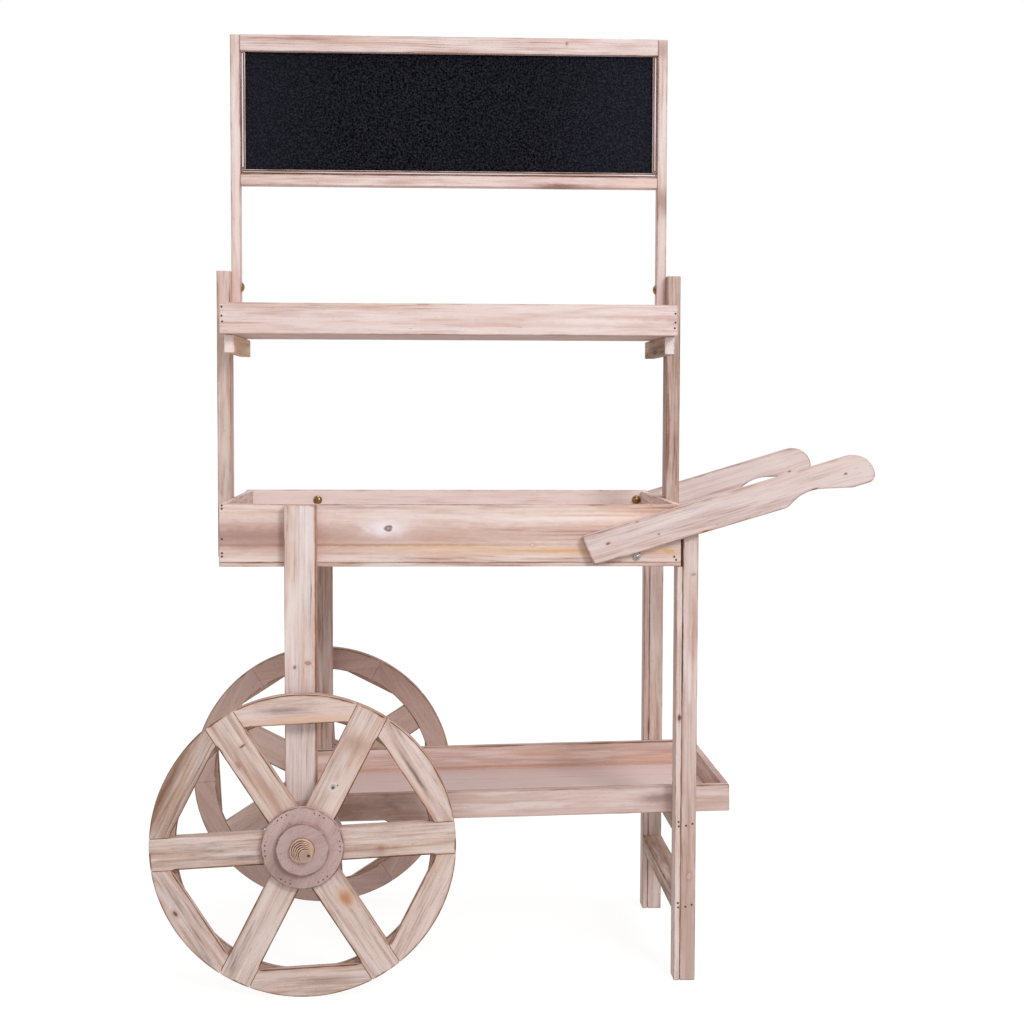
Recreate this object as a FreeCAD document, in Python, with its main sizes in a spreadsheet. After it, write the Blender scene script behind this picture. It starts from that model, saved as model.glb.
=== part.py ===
"""Wooden garden flower cart: a deep planting tray on two spoked wheels and two legs, with push
handles, a lower tray, an upper shelf between two posts and a framed chalkboard above it.

Frame: +X runs from the wheels to the handles, +Y from front to back, +Z up. The origin is on the
ground, in the middle of the cart's length and depth. Units are millimetres."""
import FreeCAD
import Part
import math
import os
import re

App = FreeCAD
doc = App.newDocument("GardenCart")

# ---------------------------------------------------------------- driving dimensions
DIMENSIONS = {
    # whole cart
    "overall_length": 1124, "wheel_radius": 235, "wheel_setback": 132, "cart_depth": 444,
    # main tray
    "tray_length": 720, "tray_underside": 661, "tray_board_height": 91, "tray_floor_thick": 6,
    "side_board": 15, "end_board": 12, "back_board_extra": 2.5,
    # wheel legs and axle
    "wheel_leg_width": 50, "wheel_leg_thick": 20, "wheel_leg_tail": 55, "axle_radius": 15,
    "journal_radius": 18.5, "journal_tip_radius": 12, "journal_tip": 8, "journal_overhang": 15,
    # right-hand legs, each of two boards, and their crossbars
    "leg_gap": 3, "leg_outer_board": 24.5, "leg_inner_board": 9.5, "leg_depth": 36, "leg_top": 750,
    "crossbar_height": 27, "crossbar_drop": 114, "lower_crossbar_underside": 108,
    # lower tray, which rises a little towards the handles
    "lower_tilt": 1.2, "lower_left_reach": 38, "lower_length": 713, "lower_height": 43,
    "lower_floor_thick": 5, "back_rail_extra": 4,
    # upper shelf on its cleats, between the posts
    "post_thick": 22, "post_width": 47, "post_front": -38, "post_top": 1127,
    "left_post_extra": 4,
    "shelf_front": -164, "shelf_depth": 236, "shelf_underside": 1023, "shelf_height": 49,
    "shelf_board": 12, "shelf_floor_thick": 8, "shelf_front_reach": 4,
    "cleat_thick": 17, "cleat_height": 29, "cleat_front": -134, "cleat_length": 257,
    # chalkboard sign
    "sign_top": 1517, "sign_front": -18, "sign_frame_depth": 25, "stile_thick": 15.5,
    "top_rail_height": 27, "bottom_rail_height": 17.5, "sign_underside": 1272.5,
    "bead_width": 8.5, "bead_setback": 3, "bead_depth": 8, "panel_thick": 5,
    # handles
    "handle_thick": 20, "handle_end_x": 562, "handle_grip_length": 84,
    # wheels
    "spoke_width": 50, "wheel_thick": 24, "ring_thick": 10, "ring_inner_radius": 196,
    "felloe_chord": 189, "spoke_start": 44, "front_spoke_turn": 3, "back_spoke_turn": 27,
    "hub_core_radius": 43.5,
    "hub_disc_radius": 63.5, "hub_outer_thick": 13, "hub_inner_thick": 11,
    "hub_bore_radius": 18.56, "leg_to_hub_gap": 1.2, "cap_radius": 40.5, "cap_thick": 9,
    "cap_gap": 0.8,
    # hardware
    "bolt_radius": 3, "dome_radius": 8, "dome_height": 5, "nut_flats": 11, "nut_thick": 6,
    "nail_radius": 1.6, "nail_proud": 0.4, "brad_radius": 1.1,
}
sheet = doc.addObject("Spreadsheet::Sheet", "Dimensions")
sheet.Label = "Dims"
for row, (alias, value) in enumerate(DIMENSIONS.items(), start=1):
    sheet.set("A%d" % row, alias)
    sheet.set("B%d" % row, str(value))
    sheet.setAlias("B%d" % row, alias)
doc.recompute()

# Places worked out from the driving dimensions, as formulas of them.
PLACES = {
    "wheel_x": "(wheel_radius - overall_length / 2)",
    "tray_left": "(wheel_x - wheel_setback)",
    "tray_right": "(tray_left + tray_length)",
    "half_depth": "(cart_depth / 2)",
    "tray_boards_z": "(tray_underside + tray_floor_thick)",
    "leg_right": "(tray_right + leg_gap + leg_outer_board)",
    "leg_left": "(leg_right - leg_outer_board - leg_inner_board)",
    "leg_inside": "(half_depth - leg_depth)",
    "leg_face": "(half_depth + wheel_leg_thick)",
    "hub_face": "(leg_face + leg_to_hub_gap)",
    "wheel_back": "(hub_face + hub_inner_thick)",
    "wheel_front": "(wheel_back + wheel_thick)",
    "cap_face": "(wheel_front + hub_outer_thick + cap_gap)",
    "journal_end": "(cap_face + cap_thick + journal_overhang)",
    "lower_inside": "(2 * leg_inside - 2 * side_board)",
}


def expanded(formula):
    """The formula with every place replaced by its own formula and every dimension by its cell."""
    formula = str(formula)
    while any(re.search(r"\b%s\b" % name, formula) for name in PLACES):
        for name, value in PLACES.items():
            formula = re.sub(r"\b%s\b" % name, value, formula)
    return re.sub(r"[a-z]\w+", lambda word: "Dims." + word.group() if word.group() in DIMENSIONS
                  else word.group(), formula)


def value(formula):
    """The formula's number, in millimetres or degrees, for the shapes drawn point by point."""
    cells = {name: float(sheet.get(name)) for name in DIMENSIONS}
    text = re.sub(r"Dims\.(\w+)", lambda cell: repr(cells[cell.group(1)]), expanded(formula))
    total = App.Units.Quantity(text)
    return total.Value


def primitive(kind, name, **sizes):
    """A Part primitive with its sizes bound to the sheet."""
    solid = doc.addObject("Part::" + kind, name)
    solid.Label = name
    for size, formula in sizes.items():
        solid.setExpression(size, expanded(formula))
    return solid


def place(solid, x=0, y=0, z=0, axis=(0, 0, 1), angle=0, frame=None):
    """Bind the solid's Placement: at x, y, z, turned about axis, inside an outer frame if given."""
    own = "placement(vector(%s; %s; %s); rotation(vector(%g; %g; %g); %s))" % (
        expanded(x), expanded(y), expanded(z), *axis, expanded(angle))
    solid.setExpression("Placement", "%s * %s" % (frame, own) if frame else own)
    return solid


def board(name, size, corner, frame=None):
    """A straight board: its length, depth and height, from its low corner."""
    box = primitive("Box", name, Length=size[0], Width=size[1], Height=size[2])
    return place(box, *corner, frame=frame)


def combine(kind, name, base, tool):
    """A Part boolean of two solids."""
    result = doc.addObject("Part::" + kind, name)
    result.Label = name
    result.Base = base
    result.Tool = tool
    return result


def group(name, solids):
    """Several separate solids that share one node."""
    compound = doc.addObject("Part::Compound", name)
    compound.Label = name
    compound.Links = solids
    return compound


def rounded_outline(corners):
    """Closed outline through (x, y, radius) corners, each rounded with a tangent arc."""
    edges = []
    starts = []
    ends = []
    middles = []
    count = len(corners)
    for index, (x, y, radius) in enumerate(corners):
        here = App.Vector(x, y, 0)
        before = App.Vector(*corners[index - 1][:2], 0) - here
        after = App.Vector(*corners[(index + 1) % count][:2], 0) - here
        before.normalize()
        after.normalize()
        half = before.getAngle(after) / 2
        reach = radius / math.tan(half)
        starts.append(here + before * reach)
        ends.append(here + after * reach)
        bisector = before + after
        bisector.normalize()
        middles.append(here + bisector * (radius / math.sin(half) - radius))
    for index, corner in enumerate(corners):
        if corner[2]:
            edges.append(Part.Arc(starts[index], middles[index], ends[index]))
        edges.append(Part.LineSegment(ends[index], starts[(index + 1) % count]))
    return edges


def plate(name, corners, thickness, x=0, y=0, z=0, axis=(1, 0, 0), angle=90):
    """A PartDesign body: a rounded outline on the body's XY plane, padded to a thickness."""
    body = doc.addObject("PartDesign::Body", name)
    body.Label = name
    plane = [item for item in body.Origin.OriginFeatures if item.Role == "XY_Plane"][0]
    sketch = body.newObject("Sketcher::SketchObject", name + "_outline")
    sketch.AttachmentSupport = [(plane, "")]
    sketch.MapMode = "FlatFace"
    sketch.addGeometry(rounded_outline(corners), False)
    pad = body.newObject("PartDesign::Pad", name + "_pad")
    pad.Profile = sketch
    pad.setExpression("Length", expanded(thickness))
    body.Tip = pad
    return place(body, x, y, z, axis, angle)


def along_y(name, radius, length, x, y, z, toward):
    """A round bar lying along Y. toward is -1 for a bar that runs to the front, +1 to the back."""
    bar = primitive("Cylinder", name, Radius=radius, Height=length)
    return place(bar, x, y, z, axis=(1, 0, 0), angle=-90 * toward)


def along_x(name, radius, length, x, y, z, toward):
    """A round bar lying along X, running to the handles (+1) or to the wheels (-1)."""
    bar = primitive("Cylinder", name, Radius=radius, Height=length)
    return place(bar, x, y, z, axis=(0, 1, 0), angle=90 * toward)


def carriage_bolt(name, length, x, y, z, axis, angle):
    """A domed bolt: its head rests on local z = 0 and its shank runs to local -z."""
    ball = primitive("Sphere", name + "_ball",
                     Radius="(dome_radius ^ 2 + dome_height ^ 2) / (2 * dome_height)")
    place(ball, 0, 0, "dome_height - (dome_radius ^ 2 + dome_height ^ 2) / (2 * dome_height)")
    envelope = primitive("Cylinder", name + "_envelope", Radius="dome_radius", Height="dome_height")
    head = combine("Common", name + "_head", ball, envelope)
    shank = primitive("Cylinder", name + "_shank", Radius="bolt_radius", Height="%s + 1" % length)
    place(shank, 0, 0, "-(%s)" % length)
    return place(combine("Fuse", name, head, shank), x, y, z, axis, angle)


nodes = []

# ---------------------------------------------------------------- main tray
for side, y, height in (("front", "-half_depth", "tray_board_height"),
                        ("back", "half_depth - side_board",
                         "tray_board_height + back_board_extra")):
    nodes.append(board("tray_%s_board" % side, ("tray_length", "side_board", height),
                       ("tray_left", y, "tray_boards_z")))
for side, x in (("left", "tray_left"), ("right", "tray_right - end_board")):
    nodes.append(board("tray_%s_end" % side,
                       ("end_board", "cart_depth - 2 * side_board", "tray_board_height"),
                       (x, "side_board - half_depth", "tray_boards_z")))
nodes.append(board("tray_floor", ("tray_length", "cart_depth", "tray_floor_thick"),
                   ("tray_left", "-half_depth", "tray_underside")))

# ---------------------------------------------------------------- lower tray
# Its own frame is tilted about a line just above the axle, on which its left end rests.
lower_frame = "placement(vector(%s; 0; %s); rotation(vector(0; 1; 0); %s))" % (
    expanded("wheel_x"), expanded("wheel_radius + axle_radius + 0.1"), expanded("-lower_tilt"))
for side, y, height in (("front", "-leg_inside", "lower_height"),
                        ("back", "leg_inside - side_board", "lower_height + back_rail_extra")):
    nodes.append(board("lower_tray_%s_rail" % side, ("lower_length", "side_board", height),
                       ("-lower_left_reach", y, 0), lower_frame))
for side, x in (("left", "-lower_left_reach"),
                ("right", "lower_length - lower_left_reach - end_board")):
    nodes.append(board("lower_tray_%s_end" % side, ("end_board", "lower_inside", "lower_height"),
                       (x, "side_board - leg_inside", 0), lower_frame))
nodes.append(board("lower_tray_floor",
                   ("lower_length - 2 * end_board", "lower_inside", "lower_floor_thick"),
                   ("end_board - lower_left_reach", "side_board - leg_inside", 0), lower_frame))

# ---------------------------------------------------------------- wheel legs, axle and journals
for side, toward in (("front", -1), ("back", 1)):
    leg_y = "-leg_face" if toward < 0 else "half_depth"
    leg_board = board(side + "_wheel_leg_board",
                      ("wheel_leg_width", "wheel_leg_thick",
                       "tray_boards_z + tray_board_height - wheel_radius + wheel_leg_tail"),
                      ("wheel_x - wheel_leg_width / 2 - 5", leg_y, "wheel_radius - wheel_leg_tail"))
    axle_hole = along_y(side + "_axle_hole", "axle_radius", "cart_depth", "wheel_x", 0,
                        "wheel_radius", toward)
    nodes.append(combine("Cut", side + "_wheel_leg", leg_board, axle_hole))
    barrel = along_y(side + "_journal_barrel", "journal_radius",
                     "journal_end - leg_face - journal_tip", "wheel_x",
                     "%d * leg_face" % toward, "wheel_radius", toward)
    tip = primitive("Cone", side + "_journal_tip", Radius1="journal_radius",
                    Radius2="journal_tip_radius", Height="journal_tip")
    place(tip, "wheel_x", "%d * (journal_end - journal_tip)" % toward, "wheel_radius",
          axis=(1, 0, 0), angle=-90 * toward)
    nodes.append(combine("Fuse", side + "_axle_journal", barrel, tip))
nodes.append(along_y("axle", "axle_radius", "2 * leg_face", "wheel_x", "-leg_face",
                     "wheel_radius", 1))

# ---------------------------------------------------------------- right-hand legs
for side, y in (("front", "-half_depth"), ("back", "leg_inside")):
    nodes.append(board(side + "_leg_outer_board", ("leg_outer_board", "leg_depth", "leg_top"),
                       ("leg_right - leg_outer_board", y, 0)))
    nodes.append(board(side + "_leg_inner_board",
                       ("leg_inner_board", "leg_depth", "tray_underside"), ("leg_left", y, 0)))
for name, z in (("upper_leg_crossbar", "lower_crossbar_underside + crossbar_drop + 13"),
                ("lower_leg_crossbar", "lower_crossbar_underside")):
    nodes.append(board(name, ("leg_outer_board + leg_inner_board", "2 * leg_inside",
                              "crossbar_height"), ("leg_left", "-leg_inside", z)))

# ---------------------------------------------------------------- posts, cleats and upper shelf
for side, x, top in (("left", "tray_left - post_thick", "post_top + left_post_extra"),
                     ("right", "tray_right", "post_top")):
    nodes.append(board(side + "_post", ("post_thick", "post_width", "%s - tray_underside" % top),
                       (x, "post_front", "tray_underside")))
for side, x in (("left", "tray_left"), ("right", "tray_right - cleat_thick")):
    nodes.append(board(side + "_shelf_cleat", ("cleat_thick", "cleat_length", "cleat_height"),
                       (x, "cleat_front", "shelf_underside - cleat_height")))
for side, y, reach in (("front", "shelf_front", "shelf_front_reach"),
                       ("back", "shelf_front + shelf_depth - shelf_board", "0")):
    nodes.append(board("shelf_%s_rail" % side,
                       ("tray_length + %s" % reach, "shelf_board", "shelf_height"),
                       ("tray_left - %s" % reach, y, "shelf_underside")))
for side, x in (("left", "tray_left"), ("right", "tray_right - shelf_board")):
    nodes.append(board("shelf_%s_end" % side,
                       ("shelf_board", "shelf_depth - 2 * shelf_board", "shelf_height"),
                       (x, "shelf_front + shelf_board", "shelf_underside")))
nodes.append(board("shelf_floor",
                   ("tray_length - 2 * shelf_board", "shelf_depth - 2 * shelf_board",
                    "shelf_floor_thick"),
                   ("tray_left + shelf_board", "shelf_front + shelf_board", "shelf_underside")))

# ---------------------------------------------------------------- chalkboard sign
stile_foot = "shelf_underside + shelf_height"
for side, x in (("left", "tray_left"), ("right", "tray_right - stile_thick")):
    nodes.append(board("sign_%s_stile" % side,
                       ("stile_thick", "sign_frame_depth", "sign_top - (%s)" % stile_foot),
                       (x, "sign_front", stile_foot)))
clear_width = "tray_length - 2 * stile_thick"
nodes.append(board("sign_top_rail", (clear_width, "sign_frame_depth", "top_rail_height"),
                   ("tray_left + stile_thick", "sign_front", "sign_top - top_rail_height")))
nodes.append(board("sign_bottom_rail", (clear_width, "sign_frame_depth", "bottom_rail_height"),
                   ("tray_left + stile_thick", "sign_front", "sign_underside")))
bead_y = "sign_front + bead_setback"
bead_z = "sign_underside + bottom_rail_height"
bead_height = "sign_top - top_rail_height - (%s) - bead_width" % bead_z
nodes.append(group("sign_beads", [
    board("bead_bottom", (clear_width, "bead_depth", "bead_width"),
          ("tray_left + stile_thick", bead_y, bead_z)),
    board("bead_left", ("bead_width", "bead_depth", bead_height),
          ("tray_left + stile_thick", bead_y, "%s + bead_width" % bead_z)),
    board("bead_right", ("bead_width", "bead_depth", bead_height),
          ("tray_right - stile_thick - bead_width", bead_y, "%s + bead_width" % bead_z)),
]))
nodes.append(board("chalkboard_panel",
                   (clear_width, "panel_thick", "sign_top - top_rail_height - (%s)" % bead_z),
                   ("tray_left + stile_thick", "%s + bead_depth" % bead_y, bead_z)))

# ---------------------------------------------------------------- handles
# The outline starts at the board's lower end and runs up to the grip, which is cut narrower.
grip_end = value("overall_length / 2")
board_end = value("tray_left + handle_end_x")
neck = grip_end - value("handle_grip_length")
HANDLE_OUTLINE = (
    (board_end, 708.5, 2),
    (board_end + 19, 663.5, 2),
    (neck - 52, 754.0, 20),
    (neck - 27.4, 782.0, 66),
    (neck + 49, 785.5, 60),
    (grip_end + 1.8, 796.3, 13),
    (grip_end - 7.1, 846.3, 34),
)
for side, y in (("front", "-half_depth"), ("back", "half_depth + handle_thick")):
    nodes.append(plate(side + "_handle", HANDLE_OUTLINE, "handle_thick", y=y))


# ---------------------------------------------------------------- wheels
def wheel(side, toward):
    """One spoked wheel. Its own axis is local Z, which points away from the cart."""
    frame = dict(x="wheel_x", z="wheel_radius", axis=(1, 0, 0), angle=-90 * toward)

    def stand(solid, face):
        return place(solid, y="%d * (%s)" % (toward, face), **frame)

    spokes = []
    felloes = []
    segments = []
    for index in range(6):
        turn = "%d + %s_spoke_turn" % (60 * index, side)
        tag = "%s_%d" % (side, index)
        bar = primitive("Box", "spoke_bar_" + tag, Length="wheel_radius", Width="spoke_width",
                        Height="wheel_thick")
        place(bar, "spoke_start * cos(%s) + spoke_width / 2 * sin(%s)" % (turn, turn),
              "spoke_start * sin(%s) - spoke_width / 2 * cos(%s)" % (turn, turn), 0, angle=turn)
        disc = primitive("Cylinder", "spoke_disc_" + tag, Radius="wheel_radius",
                         Height="wheel_thick")
        trimmed = combine("Common", "spoke_trimmed_" + tag, bar, disc)
        recess = combine(
            "Cut", "ring_recess_" + tag,
            primitive("Cylinder", "recess_outer_" + tag, Radius="wheel_radius + 2",
                      Height="ring_thick"),
            primitive("Cylinder", "recess_inner_" + tag, Radius="ring_inner_radius",
                      Height="ring_thick"))
        spokes.append(combine("Cut", "spoke_" + tag, trimmed, recess))

        middle = "%d + %s_spoke_turn" % (60 * index + 30, side)
        blank = primitive("Box", "felloe_blank_" + tag, Length="wheel_radius",
                          Width="2 * wheel_radius", Height="wheel_thick - ring_thick")
        place(blank, "felloe_chord * cos(%s) + wheel_radius * sin(%s)" % (middle, middle),
              "felloe_chord * sin(%s) - wheel_radius * cos(%s)" % (middle, middle),
              "ring_thick", angle=middle)
        rim = primitive("Cylinder", "felloe_rim_" + tag, Radius="wheel_radius",
                        Height="wheel_thick")
        bow = combine("Common", "felloe_bow_" + tag, blank, rim)
        for step, end, reach in ((index, "near", "wheel_radius"),
                                 (index + 1, "far", "spoke_width / 2")):
            beside = "%d + %s_spoke_turn" % (60 * step, side)
            tool = primitive("Box", "felloe_%s_cut_%s" % (end, tag), Length="2 * wheel_radius",
                             Width="wheel_radius + spoke_width / 2", Height="wheel_thick")
            place(tool, "%s * sin(%s)" % (reach, beside), "-(%s) * cos(%s)" % (reach, beside),
                  0, angle=beside)
            bow = combine("Cut", "felloe_%s_%s" % (end, tag), bow, tool)
        felloes.append(bow)

        arc = primitive("Cylinder", "ring_arc_" + tag, Radius="wheel_radius",
                        Height="ring_thick", Angle="60")
        place(arc, angle="%s - 30" % turn)
        bore = primitive("Cylinder", "ring_bore_" + tag, Radius="ring_inner_radius",
                         Height="ring_thick")
        segments.append(combine("Cut", "ring_segment_" + tag, arc, bore))
    nodes.append(stand(group(side + "_wheel_spokes", spokes), "wheel_back"))
    nodes.append(stand(group(side + "_wheel_felloes", felloes), "wheel_back"))
    nodes.append(stand(group(side + "_wheel_ring", segments), "wheel_back"))

    for part, radius, thick, hole, face in (
            ("hub_core", "hub_core_radius", "wheel_thick", "hub_bore_radius", "wheel_back"),
            ("hub_outer_disc", "hub_disc_radius", "hub_outer_thick", "hub_bore_radius",
             "wheel_front"),
            ("hub_inner_disc", "hub_disc_radius", "hub_inner_thick", "hub_bore_radius",
             "hub_face"),
            ("axle_cap", "cap_radius", "cap_thick", "journal_radius", "cap_face")):
        name = "%s_%s" % (side, part)
        nodes.append(stand(combine(
            "Cut", name,
            primitive("Cylinder", name + "_blank", Radius=radius, Height=thick),
            primitive("Cylinder", name + "_bore", Radius=hole, Height=thick)), face))

    brads = []
    for index in range(6):
        for step in (-8, 0, 8):
            turn = "%d + %s_spoke_turn" % (60 * index + step, side)
            head = primitive("Cylinder", "brad_%s_%d_%d" % (side, index, step + 8),
                             Radius="brad_radius", Height="nail_proud")
            place(head, "(hub_disc_radius - 6) * cos(%s)" % turn,
                  "(hub_disc_radius - 6) * sin(%s)" % turn)
            brads.append(head)
    nodes.append(stand(group(side + "_hub_brads", brads), "wheel_front + hub_outer_thick"))


wheel("front", -1)
wheel("back", 1)

# ---------------------------------------------------------------- bolts and nuts
tray_top = "tray_boards_z + tray_board_height"
leg_bolts = []
handle_bolts = []
for side, toward in (("front", -1), ("back", 1)):
    inner_face = "%d * (half_depth - side_board)" % toward
    for step, drop in (("upper", 16), ("lower", 70)):
        leg_bolts.append(carriage_bolt(
            "leg_bolt_%s_%s" % (side, step), "side_board + wheel_leg_thick - 6",
            "wheel_x - 5", inner_face, "%s - %d" % (tray_top, drop), (1, 0, 0), 90 * toward))
    for step, inset, drop in (("right", 20.5, 15), ("left", 95, 58)):
        handle_bolts.append(carriage_bolt(
            "handle_bolt_%s_%s" % (side, step), "side_board + handle_thick - 6",
            "tray_right - %g" % inset, inner_face, "%s - %d" % (tray_top, drop),
            (1, 0, 0), 90 * toward))
nodes.append(group("wheel_leg_bolts", leg_bolts))
nodes.append(group("handle_bolts", handle_bolts))

sign_bolts = []
post_screws = []
for side, toward in (("left", -1), ("right", 1)):
    edge = "tray_left" if toward < 0 else "tray_right"
    sign_bolts.append(carriage_bolt(
        "sign_bolt_" + side, "stile_thick + post_thick - 5",
        "%s - %d * stile_thick" % (edge, toward), "sign_front + sign_frame_depth / 2",
        "post_top - 21", (0, 1, 0), -90 * toward))
    for step, z in (("upper", 20), ("lower", 65)):
        post_screws.append(along_x(
            "post_screw_%s_%s" % (side, step), "bolt_radius", "end_board + post_thick - 6",
            "%s - %d * (end_board + 0.5)" % (edge, toward), "post_front + post_width / 2",
            "%s - %d" % (tray_top, z), toward))
nodes.append(group("sign_bolts", sign_bolts))
nodes.append(group("post_screws", post_screws))

# A hexagonal nut on each long side of the tray, just below the handle board.
nuts = []
for side, toward in (("front", -1), ("back", 1)):
    corner_radius = value("nut_flats") / math.sqrt(3)
    hexagon = [(corner_radius * math.cos(math.radians(60 * k + 30)),
                corner_radius * math.sin(math.radians(60 * k + 30)), 0) for k in range(6)]
    nuts.append(plate(side + "_nut", hexagon, "nut_thick", "tray_right - 70",
                      "%d * half_depth" % toward, "tray_underside + 16",
                      (1, 0, 0), -90 * toward))
nodes.append(group("tray_nuts", nuts))

# ---------------------------------------------------------------- nail heads
heads = []


def nail(x, y, z, toward):
    """One nail head on a face that looks to the front (-1) or to the back (+1)."""
    heads.append(along_y("nail_%03d" % len(heads), "nail_radius", "nail_proud", x, y, z, toward))


for toward in (-1, 1):
    face = "%d * half_depth" % toward
    for z in (10, 15, 37, 84, 89):
        nail("tray_left + 5", face, "tray_boards_z + %d" % z, toward)
    nail("tray_right - 8", face, "tray_boards_z + 4", toward)
    nail("tray_right - 11", face, "tray_boards_z + 9", toward)
    for bar in ("lower_crossbar_underside + 10", "lower_crossbar_underside + crossbar_drop + 26"):
        nail("leg_left + 6", face, "%s + 7" % bar, toward)
        nail("leg_left + 6.5", face, bar, toward)
        nail("leg_left + 18", face, "%s + 1" % bar, toward)
        nail("leg_left + 28", face, "%s + 4" % bar, toward)
shelf_face = "shelf_front"
for inset, z in ((4, 42), (4, 28), (5, 19)):
    nail("tray_left - shelf_front_reach + %d" % inset, shelf_face, "shelf_underside + %d" % z, -1)
    nail("tray_right - %d" % inset, shelf_face, "shelf_underside + %d" % (z - 7), -1)
nodes.append(group("nail_heads", heads))

# ---------------------------------------------------------------- checks and output
doc.recompute()
for item in doc.Objects:
    if "Invalid" in item.State or "Error" in item.State:
        raise RuntimeError("%s did not recompute: %s" % (item.Name, item.State))
for node in nodes:
    if node.Shape.isNull() or not node.Shape.isValid() or not node.Shape.Solids:
        raise RuntimeError("%s has no valid solid" % node.Label)

os.makedirs("parts", exist_ok=True)
for node in nodes:
    node.Shape.exportStep("parts/%s.step" % node.Label)
box = App.BoundBox()
for node in nodes:
    box.add(node.Shape.BoundBox)
print("%d nodes, box %s" % (len(nodes), box))
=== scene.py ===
"""Wooden garden flower cart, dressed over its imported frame.

Every board is its own rounded, slightly worn mesh that carries a 'grain' attribute (along, across
and through the board, from the heart of its log), so the wood shaders are solid textures that
follow each board and move with it."""
import bpy
import bmesh
import math
import random
from mathutils import Matrix, Vector, noise


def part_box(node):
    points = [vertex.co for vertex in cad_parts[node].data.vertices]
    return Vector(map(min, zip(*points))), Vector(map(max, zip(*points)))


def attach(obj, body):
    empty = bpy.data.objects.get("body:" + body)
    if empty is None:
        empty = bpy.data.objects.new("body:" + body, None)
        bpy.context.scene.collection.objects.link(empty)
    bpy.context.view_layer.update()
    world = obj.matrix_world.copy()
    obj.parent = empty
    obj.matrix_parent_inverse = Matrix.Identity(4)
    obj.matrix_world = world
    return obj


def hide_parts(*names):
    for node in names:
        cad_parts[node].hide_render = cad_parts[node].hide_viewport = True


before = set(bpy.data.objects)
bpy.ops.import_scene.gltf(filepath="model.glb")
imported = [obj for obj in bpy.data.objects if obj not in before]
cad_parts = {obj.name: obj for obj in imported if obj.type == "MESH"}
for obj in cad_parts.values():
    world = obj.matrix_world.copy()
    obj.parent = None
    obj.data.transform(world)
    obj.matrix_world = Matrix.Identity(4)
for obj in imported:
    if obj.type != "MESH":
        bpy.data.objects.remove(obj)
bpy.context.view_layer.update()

# ------------ sizes, in millimetres
WHEEL_RADIUS, SPOKE_HALF, SPOKE_START = 235.0, 25.0, 44.0
RING_INNER, RING_THICK, WHEEL_THICK, CHORD = 196.0, 10.0, 24.0, 189.0
FRONT_TURN, BACK_TURN = 3.0, 27.0
HUB_DISC, HUB_CORE, CAP = 63.5, 43.5, 40.5  # radii
HUB_BORE, CAP_BORE, JOURNAL, ROD = 18.56, 18.5, 18.4, 14.9


def mm(corner):
    return Vector([1000 * v for v in corner])


def box(node):
    low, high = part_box(node)
    return mm(low), mm(high)


AXLE = (box("axle")[0] + box("axle")[1]) / 2
LEFT, RIGHT = box("tray_front_board")[0].x, box("tray_front_board")[1].x
AMBIENT = 0.66

# ------------ outline and mesh helpers


def unit(v):
    return v / max(v.length, 1e-9)


def circle_point(radius, degrees):
    a = math.radians(degrees)
    return radius * math.cos(a), radius * math.sin(a)


def outline(corners, inset, step, plan=None):
    """The closed outline through (x, y, radius) corners, drawn inset by a distance.

    Every inset gives the same number of points, so two insets can be bridged."""
    count = len(corners)
    points = [Vector((c[0], c[1])) for c in corners]
    arcs = []
    for i in range(count):
        here = points[i]
        a = unit(points[i - 1] - here)
        b = unit(points[(i + 1) % count] - here)
        turn = (here - points[i - 1]).cross(points[(i + 1) % count] - here)
        half = max(math.acos(max(-1, min(1, a.dot(b)))) / 2, 0.05)
        if half > math.radians(80):  # nearly straight: one point, moved along the bisector
            along = unit(points[(i + 1) % count] - points[i - 1])
            inward = Vector((-along.y, along.x))
            arcs.append([here + inward * inset / math.cos(math.pi / 2 - half)])
            continue
        bisector = unit(a + b)
        sign = 1 if turn > 0 else -1
        tip = here + bisector * sign * inset / math.sin(half)
        radius = max(corners[i][2] - inset, 0.02) if sign > 0 else corners[i][2] + inset
        reach = radius / math.tan(half)
        centre = tip + bisector * radius / math.sin(half)
        first, last = tip + a * reach - centre, tip + b * reach - centre
        n = 3 if corners[i][2] < 4 else 9
        arc = []
        for k in range(n + 1):
            t = k / n
            spin = first * (1 - t) + last * t
            arc.append(centre + unit(spin) * radius)
        arcs.append(arc)
    result = []
    spans = []
    for i in range(count):
        result += arcs[i]
        start, end = arcs[i][-1], arcs[(i + 1) % count][0]
        n = plan[i] if plan else max(1, int((end - start).length / step))
        spans.append(n)
        result += [start.lerp(end, k / n) for k in range(1, n)]
    return result, spans


def add_object(name, data):
    made = bpy.data.objects.new(name, data)
    bpy.context.scene.collection.objects.link(made)
    return made


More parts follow.
